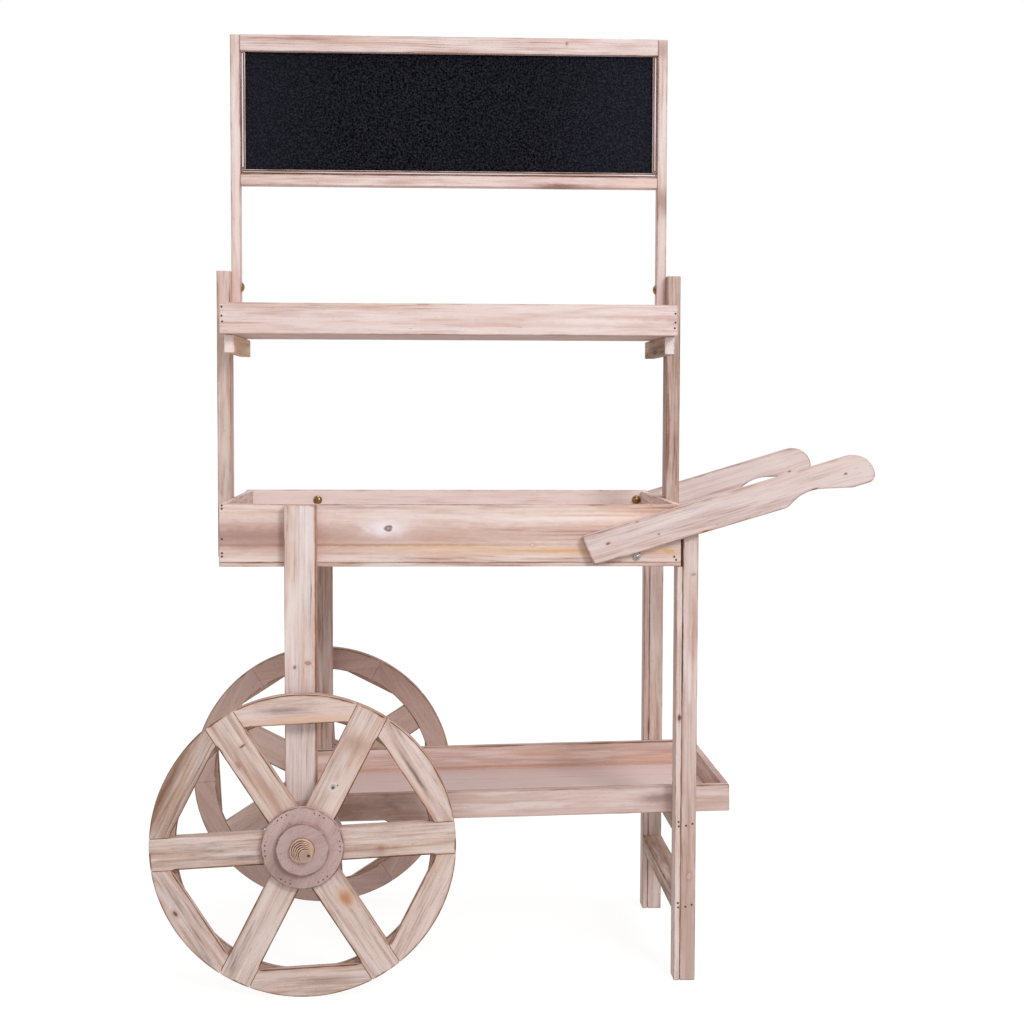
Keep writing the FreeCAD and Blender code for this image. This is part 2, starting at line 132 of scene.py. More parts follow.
class Shape:
    """One mesh in the making: vertices in millimetres, with the wood attributes."""

    def __init__(self):
        self.verts, self.faces = [], []
        self.grain, self.look, self.wear, self.end = [], [], [], []

    def vert(self, place, grain, look, wear, end):
        self.verts.append(place * 0.001)
        self.grain.append(grain)
        self.look.append(look)
        self.wear.append(wear)
        self.end.append(end)
        return len(self.verts) - 1

    def bridge(self, a, b):
        n = len(a)
        for i in range(n):
            j = (i + 1) % n
            self.faces.append((a[i], a[j], b[j], b[i]))

    def build(self, name, body, slot, material, nodes=(), sharp=38):
        mesh = bpy.data.meshes.new(name)
        mesh.from_pydata(self.verts, [], self.faces)
        for key, kind, values in (("grain", "FLOAT_VECTOR", self.grain),
                                  ("look", "FLOAT_VECTOR", self.look),
                                  ("wear", "FLOAT", self.wear), ("end", "FLOAT", self.end)):
            layer = mesh.attributes.new(key, kind, "POINT")
            if kind == "FLOAT":
                layer.data.foreach_set("value", values)
            else:
                layer.data.foreach_set("vector", [v for vector in values for v in vector])
        work = bmesh.new()
        work.from_mesh(mesh)
        bmesh.ops.remove_doubles(work, verts=work.verts, dist=2e-6)
        bmesh.ops.recalc_face_normals(work, faces=work.faces)
        work.to_mesh(mesh)
        work.free()
        mesh.polygons.foreach_set("use_smooth", [True] * len(mesh.polygons))
        mesh.set_sharp_from_angle(angle=math.radians(sharp))
        mesh.materials.append(material)
        piece = add_object(name, mesh)
        if nodes:
            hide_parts(*nodes)
        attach(piece, body)
        return piece


def heart(key, flat=None):
    """Where a board was cut from its log: how far along, and how far from the heart, in metres."""
    dice = random.Random("log " + key)
    along = dice.uniform(1, 9)
    if flat is None:
        flat = dice.random() < 0.65
    if flat:
        return Vector((along, dice.uniform(-0.02, 0.02), dice.uniform(0.018, 0.06)))
    return Vector((along, dice.uniform(0.05, 0.11), dice.uniform(-0.03, 0.03)))


def random_seed(dice):
    return Vector([dice.uniform(0, 50) for axis in range(3)])


def ripple(p, size, height, seed):
    """Smooth noise between -1 and 1 along an outline, with waves of a size in mm."""
    return noise.noise(Vector((p.x / size, p.y / size, height)) + seed)


def slab(shape, key, corners, thick, at, ex, ey, ez, radius=1.3, rough=0.35, grain=0.0,
         look=(1.0, 0.0, 0.3), step=9.0, margin=6.0, squeeze=None, layers=(), flat=None,
         edge=None):
    """A board: an outline in its own plane with a thickness, worn round arrises and end grain.

    at, ex, ey, ez place it. grain turns its grain from ex, in degrees. look is its brightness,
    its warmth and its greyness. edge(point) says how scorched and how round an arris is there; on
    the spokes it also paints shade on the lower arris."""
    log = heart(key, flat)
    dice = random.Random("wear " + key)
    seed = random_seed(dice)
    radius = min(radius, thick * 0.42)
    corners = [(c[0], c[1], max(c[2] if len(c) > 2 else 0, radius * 1.3)) for c in corners]
    base, spans = outline(corners, 0, step)
    count = len(base)
    normals = []
    for i in range(count):
        along = unit(base[(i + 1) % count] - base[i - 1])
        normals.append(Vector((-along.y, along.x)))
    gx = Vector(circle_point(1, grain))
    gy = Vector((-gx.y, gx.x))
    ends = [min(1.0, max(0.0, (abs(n.dot(gx)) - 0.55) / 0.3)) for n in normals]
    wobble, soft = [], []
    for p in base:
        w = ripple(p, 45, 0, seed) * 0.5 + 0.5 + (ripple(p, 9, 5, seed) * 0.5 + 0.5) * 0.5
        wobble.append(rough * w * 0.66)
        w = ripple(p, 28, 9, seed) + 0.7 * ripple(p, 8, 19, seed)
        soft.append(radius * (0.8 + 0.38 * w))
    shares = [edge(p) if edge else (1.0, 1.0) for p in base]
    grown = {}
    margin = min(margin, 0.32 * min(max(c[0] for c in corners) - min(c[0] for c in corners),
                                    max(c[1] for c in corners) - min(c[1] for c in corners)))

    def ring(inset, height, wear, arc=None, end=0.0, flip=1):
        """One loop of vertices. arc gives the corner's angle, else the loop is a plain inset."""
        loop = []
        key_inset = round(inset, 3)
        if arc is None and key_inset not in grown:
            grown[key_inset] = outline(corners, inset, step, spans)[0] if inset else base
        for i in range(count):
            if arc is None:
                p = grown[key_inset][i].copy()
                if inset < radius * 1.3:
                    p += normals[i] * wobble[i]
                h = height
            else:
                r = soft[i] * shares[i][1]
                p = base[i] + normals[i] * (wobble[i] + r * (1 - math.sin(arc)))
                h = height + flip * r * (1 - math.cos(arc))
            if squeeze:
                p = squeeze(p, h)
            place = at + ex * p.x + ey * p.y + ez * h
            along = Vector((p.dot(gx), p.dot(gy), h)) * 0.001 + log
            loop.append(shape.vert(place, along, look, wear * shares[i][0], ends[i] * end))
        return loop

    deep = math.pi / 2
    loops = [ring(margin, 0, 0.0), ring(margin * 0.5, 0, 0.28), ring(radius * 1.25, 0, 0.55)]
    worn = ((0.12, 0.75), (0.45, 1.0), (0.75, 1.05), (1.0, 0.8))
    loops += [ring(0, 0, w, arc=deep * a, end=a) for a, w in worn]
    side = min(thick * 0.3, 5.0)
    loops.append(ring(0, radius + (side - radius * 0.5), 0.12 if thick > 8 else 0.4, end=1.0))
    loops += [ring(0, height, 0.3, end=1.0) for height in layers]
    if not layers:
        loops.append(ring(0, thick / 2, 0.1 if thick > 12 else 0.4, end=1.0))
    loops.append(ring(0, thick - side - radius * 0.5, 0.12 if thick > 8 else 0.4, end=1.0))
    loops += [ring(0, thick, w, arc=deep * a, end=a, flip=-1) for a, w in reversed(worn)]
    loops += [ring(radius * 1.25, thick, 0.55), ring(margin * 0.5, thick, 0.28),
              ring(margin, thick, 0.0)]
    for a, b in zip(loops, loops[1:]):
        shape.bridge(a, b)
    shape.faces.append(tuple(reversed(loops[0])))
    shape.faces.append(tuple(loops[-1]))
    return shape


X, Y, Z = 0, 1, 2
AXES = (Vector((1, 0, 0)), Vector((0, 1, 0)), Vector((0, 0, 1)))


def plank(shape, key, low, high, along, through, turn=None, **options):
    """A straight board in the box low..high, its grain along one axis, thin through another."""
    across = 3 - along - through
    ex, ez = AXES[along], AXES[through]
    ey = ez.cross(ex)
    size = high - low
    start = low.copy()
    if ey[across] < 0:
        start[across] = high[across]
    corners = [(0, 0), (size[along], 0), (size[along], size[across]), (0, size[across])]
    at = start
    if turn:
        at, ex, ey, ez = turn @ start, *(turn.to_3x3() @ v for v in (ex, ey, ez))
    return slab(shape, key, corners, size[through], at, ex, ey, ez, **options)


def floor_strips(node, name, key, low, high, count, tones, slot, material, radius=0.8, turn=None):
    """A floor as strips side by side, each with its own look; name is the finished piece's."""
    shape = Shape()
    wide = (high.y - low.y) / count
    for k in range(count):
        plank(shape, "%s_%d" % (key, k), Vector((low.x, low.y + k * wide, low.z)),
              Vector((high.x, low.y + (k + 1) * wide, high.z)), X, Z, turn, look=tones(k),
              radius=radius)
    shape.build(name, "cart", slot, material, [node])


def board(node, along, through, slot, material, look=(1.0, 0.0, 0.3), body="cart", **options):
    low, high = box(node)
    shape = plank(Shape(), node, low, high, along, through, look=look, **options)
    return shape.build(node + "_board", body, slot, material, [node])


def lathe(shape, key, profile, at, ex, ey, ez, segments=64, grain=0.0, look=(1.0, 0.0, 0.3),
          endwise=False, drift=None, wobble=0.0, closed=True, offset=None):
    """A turned piece: (radius, height, wear) points round ez. closed joins the last to the first.

    endwise runs the grain along the piece's own axis, as in a dowel."""
    log = offset if offset else heart(key, True)
    dice = random.Random("lathe " + key)
    seed = random_seed(dice)
    turn = math.radians(grain)
    loops = []
    for radius, height, wear, *cut in profile:
        cut = cut[0] if cut else 0.0
        if radius < 0.01:
            p = drift(height) if drift else Vector((0, 0))
            along = Vector((height, p.x, p.y)) if endwise else Vector((0, 0, height))
            place = at + ex * p.x + ey * p.y + ez * height
            loops.append([shape.vert(place, along * 0.001 + log, look, wear, float(endwise))])
            continue
        loop = []
        for k in range(segments):
            a = 2 * math.pi * k / segments
            r = radius
            if wobble:
                r -= wobble * (0.5 + 0.5 * noise.noise(
                    Vector((math.cos(a) * 1.6, math.sin(a) * 1.6, height / 6)) + seed))
            p = Vector((r * math.cos(a), r * math.sin(a)))
            if drift:
                p += drift(height)
            place = at + ex * p.x + ey * p.y + ez * height
            if endwise:
                along = Vector((height, p.x, p.y))
            else:
                along = Vector((p.x * math.cos(turn) + p.y * math.sin(turn),
                                -p.x * math.sin(turn) + p.y * math.cos(turn), height))
            loop.append(shape.vert(place, along * 0.001 + log, look, wear, cut))
        loops.append(loop)
    pairs = list(zip(loops, loops[1:]))
    if closed:
        pairs.append((loops[-1], loops[0]))
    for a, b in pairs:
        if len(a) > 1 and len(b) > 1:
            shape.bridge(a, b)
        elif len(a) > 1:
            shape.faces += [(a[i], a[(i + 1) % len(a)], b[0]) for i in range(len(a))]
        elif len(b) > 1:
            shape.faces += [(b[(i + 1) % len(b)], b[i], a[0]) for i in range(len(b))]
    return shape


# ------------ materials


def shade(rgb, factor):
    """An sRGB colour made darker."""
    return tuple(v * factor for v in rgb)


def linear(*rgb):
    """An sRGB colour, 0 to 255, as the shader's linear colour."""
    return tuple((v / 255 / 12.92) if v / 255 < 0.04045 else ((v / 255 + 0.055) / 1.055) ** 2.4
                 for v in rgb) + (1.0,)


class Net:
    """A small builder of shader nodes."""

    def __init__(self, name):
        self.material = bpy.data.materials.new(name)
        self.material.use_nodes = True
        self.tree = self.material.node_tree
        self.shader = self.tree.nodes["Principled BSDF"]

    def node(self, kind, inputs=None, **settings):
        """A new node; inputs are values or links by socket name or number."""
        made = self.tree.nodes.new("ShaderNode" + kind)
        for key, value in settings.items():
            setattr(made, key, value)
        for key, value in (inputs or {}).items():
            self.feed(made.inputs[key], value)
        return made

    def feed(self, socket, value):
        if isinstance(value, bpy.types.NodeSocket):
            self.tree.links.new(value, socket)
        elif value is not None:
            socket.default_value = value

    def set(self, name, value):
        """A value or a link for one of the main shader's own sockets."""
        self.feed(self.shader.inputs[name], value)

    def attribute(self, name, out="Fac"):
        return self.node("Attribute", attribute_name=name).outputs[out]

    def math(self, kind, a, b=None, c=None, clamp=False):
        made = self.node("Math", operation=kind, use_clamp=clamp)
        for socket, value in zip(made.inputs, (a, b, c)):
            self.feed(socket, value)
        return made.outputs[0]

    def mul(self, a, b):
        return self.math("MULTIPLY", a, b)

    def add(self, a, b):
        return self.math("ADD", a, b)

    def vector(self, kind, a, b=None):
        made = self.node("VectorMath", {0: a, 1: b}, operation=kind)
        return made.outputs["Value" if kind in ("LENGTH", "DOT_PRODUCT") else "Vector"]

    def scaled(self, vector, scale):
        return self.vector("MULTIPLY", vector, scale)

    def noise(self, vector, scale, detail=2.0, rough=0.5, distort=0.0, out="Fac", shift=None):
        if shift:
            vector = self.vector("ADD", vector, shift)
        return self.node("TexNoise", {"Vector": self.scaled(vector, scale), "Scale": 1.0,
                                      "Detail": detail, "Roughness": rough,
                                      "Distortion": distort}).outputs[out]

    def step(self, value, low, high, top=1.0):
        return self.node("MapRange", {"Value": value, "From Min": low, "From Max": high,
                                      "To Max": top}, interpolation_type="SMOOTHSTEP").outputs[0]

    def mix(self, factor, a, b, kind="MIX"):
        """A blend of two colours, each an sRGB triple or a link."""
        a, b = (linear(*v) if isinstance(v, tuple) else v for v in (a, b))
        return self.node("Mix", {0: factor, 6: a, 7: b}, data_type="RGBA", blend_type=kind,
                         clamp_factor=True).outputs[2]

    def bump(self, height, strength, distance):
        return self.node("Bump", {"Strength": strength, "Distance": distance,
                                  "Height": height}).outputs[0]


def wood(name, light, dark, end=None, ring=0.0048, late=0.28, fibre=0.6, broad=0.5, smudge=0.35,
         burn=0.75, burn_colour=(88, 56, 42), glow=0.35, glow_colour=(196, 142, 104), marks=(),
         grey=(122, 112, 116), pale=(238, 224, 220), specks=0.0, rough=0.78, steady=0.35, wash=0.55,
         honey=0.35, warp=0.034):
    """Whitewashed, weathered softwood. marks are rows of MARKS in metres, in the grain frame."""
    net = Net(name)
    grain = net.attribute("grain", "Vector")
    tone, warm, mould = net.node("SeparateXYZ", {0: net.attribute("look", "Vector")}).outputs
    wear = net.attribute("wear")
    ends = net.attribute("end")

    # marks first, because the rings flow round them
    cores, halos, swell = [], [], None
    for x, y, a, b, colour, halo_colour, strength, *rings in marks:
        centre = net.vector("SUBTRACT", grain, (x, y, 0))
        wander = net.vector("SUBTRACT", net.noise(grain, (70, 160, 160), 2.0, out="Color"),
                            (0.5, 0.5, 0.5))
        centre = net.vector("ADD", centre,
                            net.vector("MULTIPLY", wander, (a * 0.9, b * 0.9 + 0.0014, 0)))
        distance = net.vector("LENGTH", net.scaled(centre, (1 / a, 1 / b, 0)))
        soft_edge = a > 0.011 and not rings
        core = net.step(distance, 1.6, 0.1) if soft_edge else net.step(distance, 1.15, 0.7)
        halo = net.step(distance, 2.6, 0.8)
        cores.append((core, distance, colour, strength, rings))
        halos.append((halo, halo_colour, strength))
        if rings:
            swell = halo if swell is None else net.math("MAXIMUM", swell, halo)

    # growth rings about the log's heart
    bend = net.vector("SUBTRACT", net.noise(grain, (2.6, 9, 9), 1.0, out="Color"), (0.5, 0.5, 0.5))
    bent = net.vector("ADD", net.scaled(grain, (0, 1, 1)), net.scaled(bend, (0, warp, warp)))
    radius = net.vector("LENGTH", bent)
    if swell is not None:
        radius = net.add(radius, net.mul(swell, 0.006))
    count = net.mul(net.noise(grain, (5, 60, 60)), 38 * warp)
    count = net.add(net.mul(radius, 1 / ring), count)
    part = net.math("FRACT", count)
    line = net.mul(net.step(part, 0.35, 0.9), net.step(part, 1.0, 0.93))
    strong = net.noise(net.vector("ADD", net.scaled(grain, (1.1, 6, 6)), (3, 7, 1)), (1, 1, 1), 2.0)
    line = net.mul(line, net.step(strong, 0.3, 0.75))
    fibres = net.noise(grain, (12, 620, 620), 3.0, 0.62)
    threads = net.noise(grain, (12, 330, 330), 2.0, 0.6, shift=(0.4, 0.1, 0.7))
    fine = net.noise(grain, (45, 2300, 2300), 2.0, 0.6)
    streak = net.noise(grain, (7, 150, 150), 3.0, 0.6, 0.3)
    band = net.noise(grain, (2.8, 38, 38), 2.0, 0.5, 0.4, shift=(1.3, 0.7, 0.1))
    cloud = net.noise(grain, (9, 30, 30), 4.0, 0.6)
    patch = net.noise(grain, (8, 52, 52), 4.0, 0.62, shift=(2.3, 1.7, 4.1))
    saw = net.noise(grain, (1100, 70, 70), 2.0, 0.6)

    depth = net.mul(line, late)
    for layer, low, high, middle, share in (
            (fibres, 0.3, 0.7, 0.5, fibre * 0.42), (threads, 0.34, 0.66, 0.5, fibre * 0.45),
            (streak, 0.36, 0.68, 0.45, broad * 0.62), (band, 0.34, 0.66, 0.45, broad * 0.62),
            (cloud, 0.34, 0.68, 0.42, broad * 0.55), (fine, 0, 0, 0.5, fibre * 0.5),
            (saw, 0, 0, 0.5, 0.16)):
        stepped = net.step(layer, low, high) if high else layer
        depth = net.add(depth, net.mul(net.add(stepped, -middle), share))
    depth = net.math("MULTIPLY_ADD", depth, 1.3, net.add(warm, 0.13), clamp=True)
    colour = net.mix(depth, light, dark)
    deep = net.step(depth, 0.72, 1.05, 0.7)
    colour = net.mix(deep, colour, shade(dark, 0.78))
    # amber heartwood showing through in long soft patches
    amber = net.noise(grain, (3, 30, 30), shift=(5.5, 2.2, 0.9))
    amber = net.step(amber, 0.52, 0.72, honey)
    colour = net.mix(amber, colour, (214, 168, 132))
    # whitewash left in patches
    chalk = net.noise(grain, (7, 70, 70), 4.0, 0.62, shift=(7.7, 0.3, 2.2))
    chalk = net.mul(net.step(chalk, 0.44, 0.68, wash), net.add(0.55, net.mul(fine, 0.9)))
    colour = net.mix(chalk, colour, pale)
    # grey mould and dirt
    smear = net.step(patch, 0.52, 0.72)
    smear = net.mul(net.mul(smear, mould), net.add(0.1, net.mul(net.step(streak, 0.3, 0.7), 1.0)))
    colour = net.mix(net.mul(smear, smudge * 2.0), colour, grey)
    # short dark pores
    pores = net.step(net.noise(grain, (90, 900, 900), 1.0, 0.5), 0.70, 0.78, 0.45)
    colour = net.mix(pores, colour, shade(dark, 0.62))
    if specks:
        dots = net.node("TexVoronoi", {"Vector": net.scaled(grain, (330, 330, 330)), "Scale": 1.0})
        dotted = net.mul(net.step(dots.outputs["Distance"], 0.30, 0.12),
                         net.step(net.noise(grain, (60, 60, 60), 2.0), 0.42, 0.62, specks))
        colour = net.mix(dotted, colour, (92, 66, 66))
    for halo, halo_colour, strength in halos:
        colour = net.mix(net.mul(halo, strength * 0.62), colour, halo_colour)
    for core, distance, core_colour, strength, rings in cores:
        tint = core_colour
        if rings:
            wave = net.math("SINE", net.mul(distance, 15.0))
            wave = net.math("MULTIPLY_ADD", wave, 0.35, 0.35, clamp=True)
            tint = net.mix(wave, core_colour, shade(core_colour, 0.62))
        colour = net.mix(net.mul(core, strength), colour, tint)
    # end grain
    if end:
        rays = net.mix(net.mul(line, 0.6), end, shade(end, 0.72))
        colour = net.mix(net.mul(ends, 0.85), colour, rays)
    # worn, scorched arrises: an orange glow that fades in, and a thin dark line on the edge; on the
    # spokes' lower arrises and in the journal's creases the dark line is also painted shade
    ragged = net.add(wear, net.mul(net.add(net.noise(grain, (28, 120, 120), 3.0, 0.6), -0.5), 1.3))
    some = net.step(net.noise(grain, (11, 16, 16), shift=(0.2, 3.1, 6.4)), 0.40, 0.62)
    some = net.add(net.mul(some, 1 - steady), steady)
    colour = net.mix(net.mul(net.step(ragged, 0.18, 0.92, glow), some), colour,
                     glow_colour)
    colour = net.mix(net.mul(net.step(ragged, 0.66, 1.05, burn), some), colour,
                     burn_colour)
    bright = net.node("CombineXYZ", {0: tone, 1: tone, 2: tone})
    colour = net.mix(1.0, colour, bright.outputs[0], "MULTIPLY")
    net.set("Base Color", colour)
    net.set("Roughness", net.math("MULTIPLY_ADD", fibres, 0.16, rough - 0.08, clamp=True))
    net.set("Specular IOR Level", 0.32)
    height = net.add(net.mul(fibres, 0.5), net.mul(line, 0.35))
    height = net.add(height, net.mul(fine, 0.22))
    height = net.add(height, net.mul(net.math("SUBTRACT", 1.0, pores), 0.5))
    net.set("Normal", net.bump(height, 0.5, 0.0007))
    return net.material


KNOT, RED_KNOT, GREY_KNOT = (108, 66, 44), (132, 62, 44), (96, 84, 80)
ORANGE, BROWN_HALO = (206, 142, 98), (170, 128, 108)


def metal(name, colour, stain, rough, metallic=1.0, scale=260.0):
    """Plated or oxidised steel: mottled colour and roughness, fine pitting."""
    net = Net(name)
    where = net.node("TexCoord").outputs["Object"]
    mottle = net.noise(where, (scale, scale, scale), 4.0, 0.6)
    colour = net.mix(net.step(mottle, 0.42, 0.68), colour, stain)
    fine = net.noise(where, (scale * 9, scale * 9, scale * 9), 2.0)
    net.set("Base Color", colour)
    net.set("Metallic", metallic)
    net.set("Roughness", net.math("MULTIPLY_ADD", mottle, 0.3, rough - 0.15, clamp=True))
    net.set("Normal", net.bump(net.add(mottle, fine), 0.25, 0.0002))
    return net.material


def chalkboard(name):
    """Matte black blackboard paint with the fine grain of a rolled coat, and a painted sheen
    towards both ends.
    """
    net = Net(name)
    where = net.node("TexCoord").outputs["Object"]
    speck = net.noise(where, (310, 310, 310), 3.0, 0.75)
    brush = net.noise(where, (3, 9, 3), 2.0, 0.5)
    colour = net.mix(net.step(speck, 0.38, 0.72), (0, 0, 2), (48, 48, 58))
    colour = net.mix(net.step(brush, 0.4, 0.7, 0.2), colour, (22, 22, 29))
    # a painted sheen: the paint turns lighter towards both ends of the board
    across = net.node("SeparateXYZ", {0: where}).outputs[0]
    ends = net.math("ABSOLUTE", net.add(across, 0.12))
    colour = net.mix(net.step(ends, 0.12, 0.38, 0.22), colour, (50, 50, 62))
    net.set("Base Color", colour)
    net.set("Roughness", net.math("MULTIPLY_ADD", speck, 0.14, 0.62))
    net.set("Specular IOR Level", 0.02)
    net.set("Normal", net.bump(speck, 0.35, 0.0003))
    return net.material


# Knots, stains, streaks and a few painted shadows: u along and v across in mm, half length, half
# width, colour, halo colour, strength, and True for a knot with rings. u and v count from where the
# board's outline starts: its corner, or the wheel's centre. tray_front_board and front_handle are
# cut flat=True and their marks are not, so their v counts from another line along the board.
MARKS = {
    "tray_front_board": (
        (700, 70, 9, 4.0, (214, 160, 92), (222, 182, 140), 0.5),
        # this long soft mark and the one at u 40 darken the left part: painted shade from the wheel
        # leg, over the board's own browner wood
        (180, 46, 330, 15, (190, 152, 138), (206, 172, 160), 0.6),
        (180, 61, 260, 1.8, (164, 116, 90), (190, 144, 118), 0.6),
        (560, 70, 120, 3.6, (214, 164, 104), (226, 190, 150), 0.6),
        (330, 65, 90, 3.6, (226, 184, 146), (226, 198, 170), 0.5),
        (235, 2.5, 60, 1.3, (150, 130, 138), (196, 172, 168), 0.5),
        # painted shade from the wheel leg, over browner wood, at the left end
        (40, 48, 110, 14, (160, 124, 118), (190, 154, 144), 0.6),
        (560, 18, 120, 7, (242, 228, 224), (238, 222, 216), 0.6),
        (256, 36, 32, 12, (246, 236, 242), (236, 222, 220), 0.75),
        (262, 35, 7.0, 5.6, (134, 104, 98), (232, 214, 208), 0.85, True),
        (262, 35, 2.0, 1.8, (206, 186, 184), (206, 186, 184), 0.6),
        (584, 15, 75, 1.3, (204, 146, 112), (226, 186, 156), 0.6),
        (486, 61, 2.4, 2.0, (232, 206, 190), (190, 140, 112), 0.7),
    ),
    "sign_top_rail": (
        (104, 6.5, 48, 2.8, (166, 128, 116), (206, 172, 158), 0.75),
        (175, 12, 50, 1.6, (200, 164, 148), (214, 182, 168), 0.6),
        (537, 9, 2.0, 3.0, (162, 114, 98), ORANGE, 0.7),
    ),
    "sign_bottom_rail": (
        (527, 15, 38, 3.2, (128, 86, 76), (190, 152, 140), 0.8),
        (257, 12, 26, 3.0, (184, 148, 138), (206, 174, 162), 0.6),
    ),
    "bead_bottom": (
        (545, 2.5, 40, 2.0, (144, 110, 102), (200, 168, 158), 0.7),
    ),
    "sign_right_stile": (
        (181, 25, 22, 4, (146, 114, 104), (204, 172, 162), 0.6),
        (428, 25, 14, 4, (164, 134, 130), (206, 176, 168), 0.5),
    ),
    "shelf_front_rail": (
        (590, 27, 125, 5.5, (242, 228, 224), (200, 162, 148), 0.7),
        (22, 32, 46, 1.4, (188, 142, 124), (210, 174, 160), 0.6),
    ),
    "front_handle": (
        (36, -40, 3.2, 1.6, RED_KNOT, ORANGE, 0.8),
        (116, -49, 1.7, 1.1, RED_KNOT, ORANGE, 0.8),
        (89, -21, 2.4, 1.0, RED_KNOT, ORANGE, 0.7),
        (423, -44, 2.2, 1.3, KNOT, BROWN_HALO, 0.8, True),
        (187, -66, 6, 1.2, (96, 60, 46), ORANGE, 0.8),
        (369, -53, 5, 1.0, (96, 60, 46), ORANGE, 0.8),
    ),
    "front_leg_inner_board": (
        (168, 18, 4.0, 2.2, GREY_KNOT, (230, 212, 206), 0.7, True),
        (421, 6, 4.5, 3.0, KNOT, BROWN_HALO, 0.9, True),
        (510, 9.2, 80, 1.0, (76, 60, 66), (220, 204, 200), 0.95),
        (127, 20, 4.0, 2.5, KNOT, BROWN_HALO, 0.9, True),
    ),
    "front_leg_outer_board": (
        (168, 14, 5.0, 3.0, (234, 222, 218), (150, 112, 92), 0.8, True),
        (510, 0.5, 82, 1.1, (76, 60, 66), (180, 156, 152), 0.95),
        (548, 17, 48, 2.2, (176, 130, 114), (196, 156, 140), 0.6),
        (90, 14, 150, 20, (168, 132, 120), (190, 158, 148), 0.45),
        (648, 17, 2.2, 4.0, (150, 120, 112), (206, 180, 170), 0.6),
    ),
    "front_wheel_leg": (
        (327, 16, 3.4, 2.6, GREY_KNOT, (214, 190, 182), 0.7, True),
        (333, 36, 3.6, 5.4, (186, 132, 118), (214, 182, 170), 0.7, True),
        (400, 48.4, 340, 1.3, (128, 82, 60), (212, 158, 122), 0.8),
    ),
    "lower_rail_front": (
        (599, 20, 24, 9, (140, 118, 112), (190, 160, 150), 0.6),
        # a painted shadow: the wheel's shade on the front rail, soft and dark brown
        (96, 22, 80, 24, (104, 76, 62), (166, 136, 124), 0.65),
    ),
    "lower_rail_back": (
        (350, 38, 420, 2.4, (178, 124, 92), (204, 166, 144), 0.5),
    ),
    "front_spoke_1": (
        (178, 0, 15, 18, (170, 128, 104), (196, 156, 136), 0.55),
        (103, 1, 7.5, 6.0, (228, 216, 210), (222, 206, 200), 0.8),
        (103, 1, 5.0, 4.2, (164, 140, 130), (222, 206, 200), 0.5, True),
        (102, 0, 2.4, 2.0, (64, 46, 42), (160, 136, 128), 0.9),
        (108, -4, 1.6, 1.2, (84, 62, 56), (180, 156, 148), 0.8),
    ),
    "front_spoke_0": (
        (119, -10, 6.4, 3.6, (188, 140, 118), (176, 132, 112), 0.75, True),
    ),
    "front_spoke_5": (
        (103, 11, 11.5, 8, (186, 120, 80), (214, 172, 140), 0.8),
    ),
    "front_spoke_2": (
        (106, -2, 52, 5.5, (174, 136, 122), (200, 168, 154), 0.6),
        (181, -8, 1.7, 5.2, (120, 74, 58), (200, 150, 128), 0.8, True),
        (160, 13, 7.0, 4.0, (186, 136, 122), (200, 160, 146), 0.6, True),
    ),
    "front_felloe_0": (
        (2, 204, 40, 2.6, (92, 74, 74), (186, 160, 152), 0.75),
    ),
    "front_felloe_1": (
        (20, 196, 90, 5, (224, 184, 156), (214, 180, 160), 0.6),
        (-18, 212, 34, 5, (140, 120, 120), (190, 164, 158), 0.6),
    ),
    "front_felloe_2": (
        (0, 227, 105, 5, (126, 84, 62), (170, 128, 102), 0.7),
    ),
    "front_felloe_3": (
        (20, 220, 5.0, 3.0, (120, 74, 50), (176, 128, 96), 0.8, True),
    ),
    "front_hub_outer_disc": (
        # a painted shadow: the axle cap's shade on the lower left of the disc
        (-44, 11, 24, 32, (138, 110, 102), (176, 148, 142), 0.55),
    ),
}


def marks_on(*keys, flat=None):
    """The marks of these boards in metres, counted from the hearts of their logs."""
    marks = []
    for key in keys:
        log = heart(key, flat)
        for u, v, half_length, half_width, *rest in MARKS[key]:
            marks.append((log.x + u / 1000, log.y + v / 1000, half_length / 1000,
                          half_width / 1000, *rest))
    return marks


TRAY = dict(light=(228, 205, 197), dark=(190, 150, 134), end=(196, 158, 136))
tray_wood = wood("tray_wood", **TRAY)
tray_front_wood = wood("tray_front_wood", late=0.35, **TRAY, marks=marks_on("tray_front_board"))
pale_wood = wood("pale_wood", (230, 209, 205), (196, 158, 146), (222, 200, 190),
    burn=0.6, glow=0.3, late=0.3,
    marks=marks_on("sign_top_rail", "sign_bottom_rail", "bead_bottom", "sign_right_stile",
                   "shelf_front_rail"))
# a lighter copy of the tray wood for the back board: painted light on its inner face, which sits in
# shade
tray_back_lit_wood = wood("tray_back_lit_wood", (232, 218, 216), (204, 176, 168),
    (222, 200, 190), burn=0.6, glow=0.3, late=0.3)
handle_wood = wood("handle_wood", (224, 205, 202), (190, 158, 150), (214, 180, 160),
    burn=0.5, glow=0.3, late=0.3, ring=0.0042, honey=0.15, marks=marks_on("front_handle"))
brown_wood = wood("brown_wood", (216, 190, 180), (160, 122, 104), (232, 214, 206),
    smudge=0.5, late=0.34)
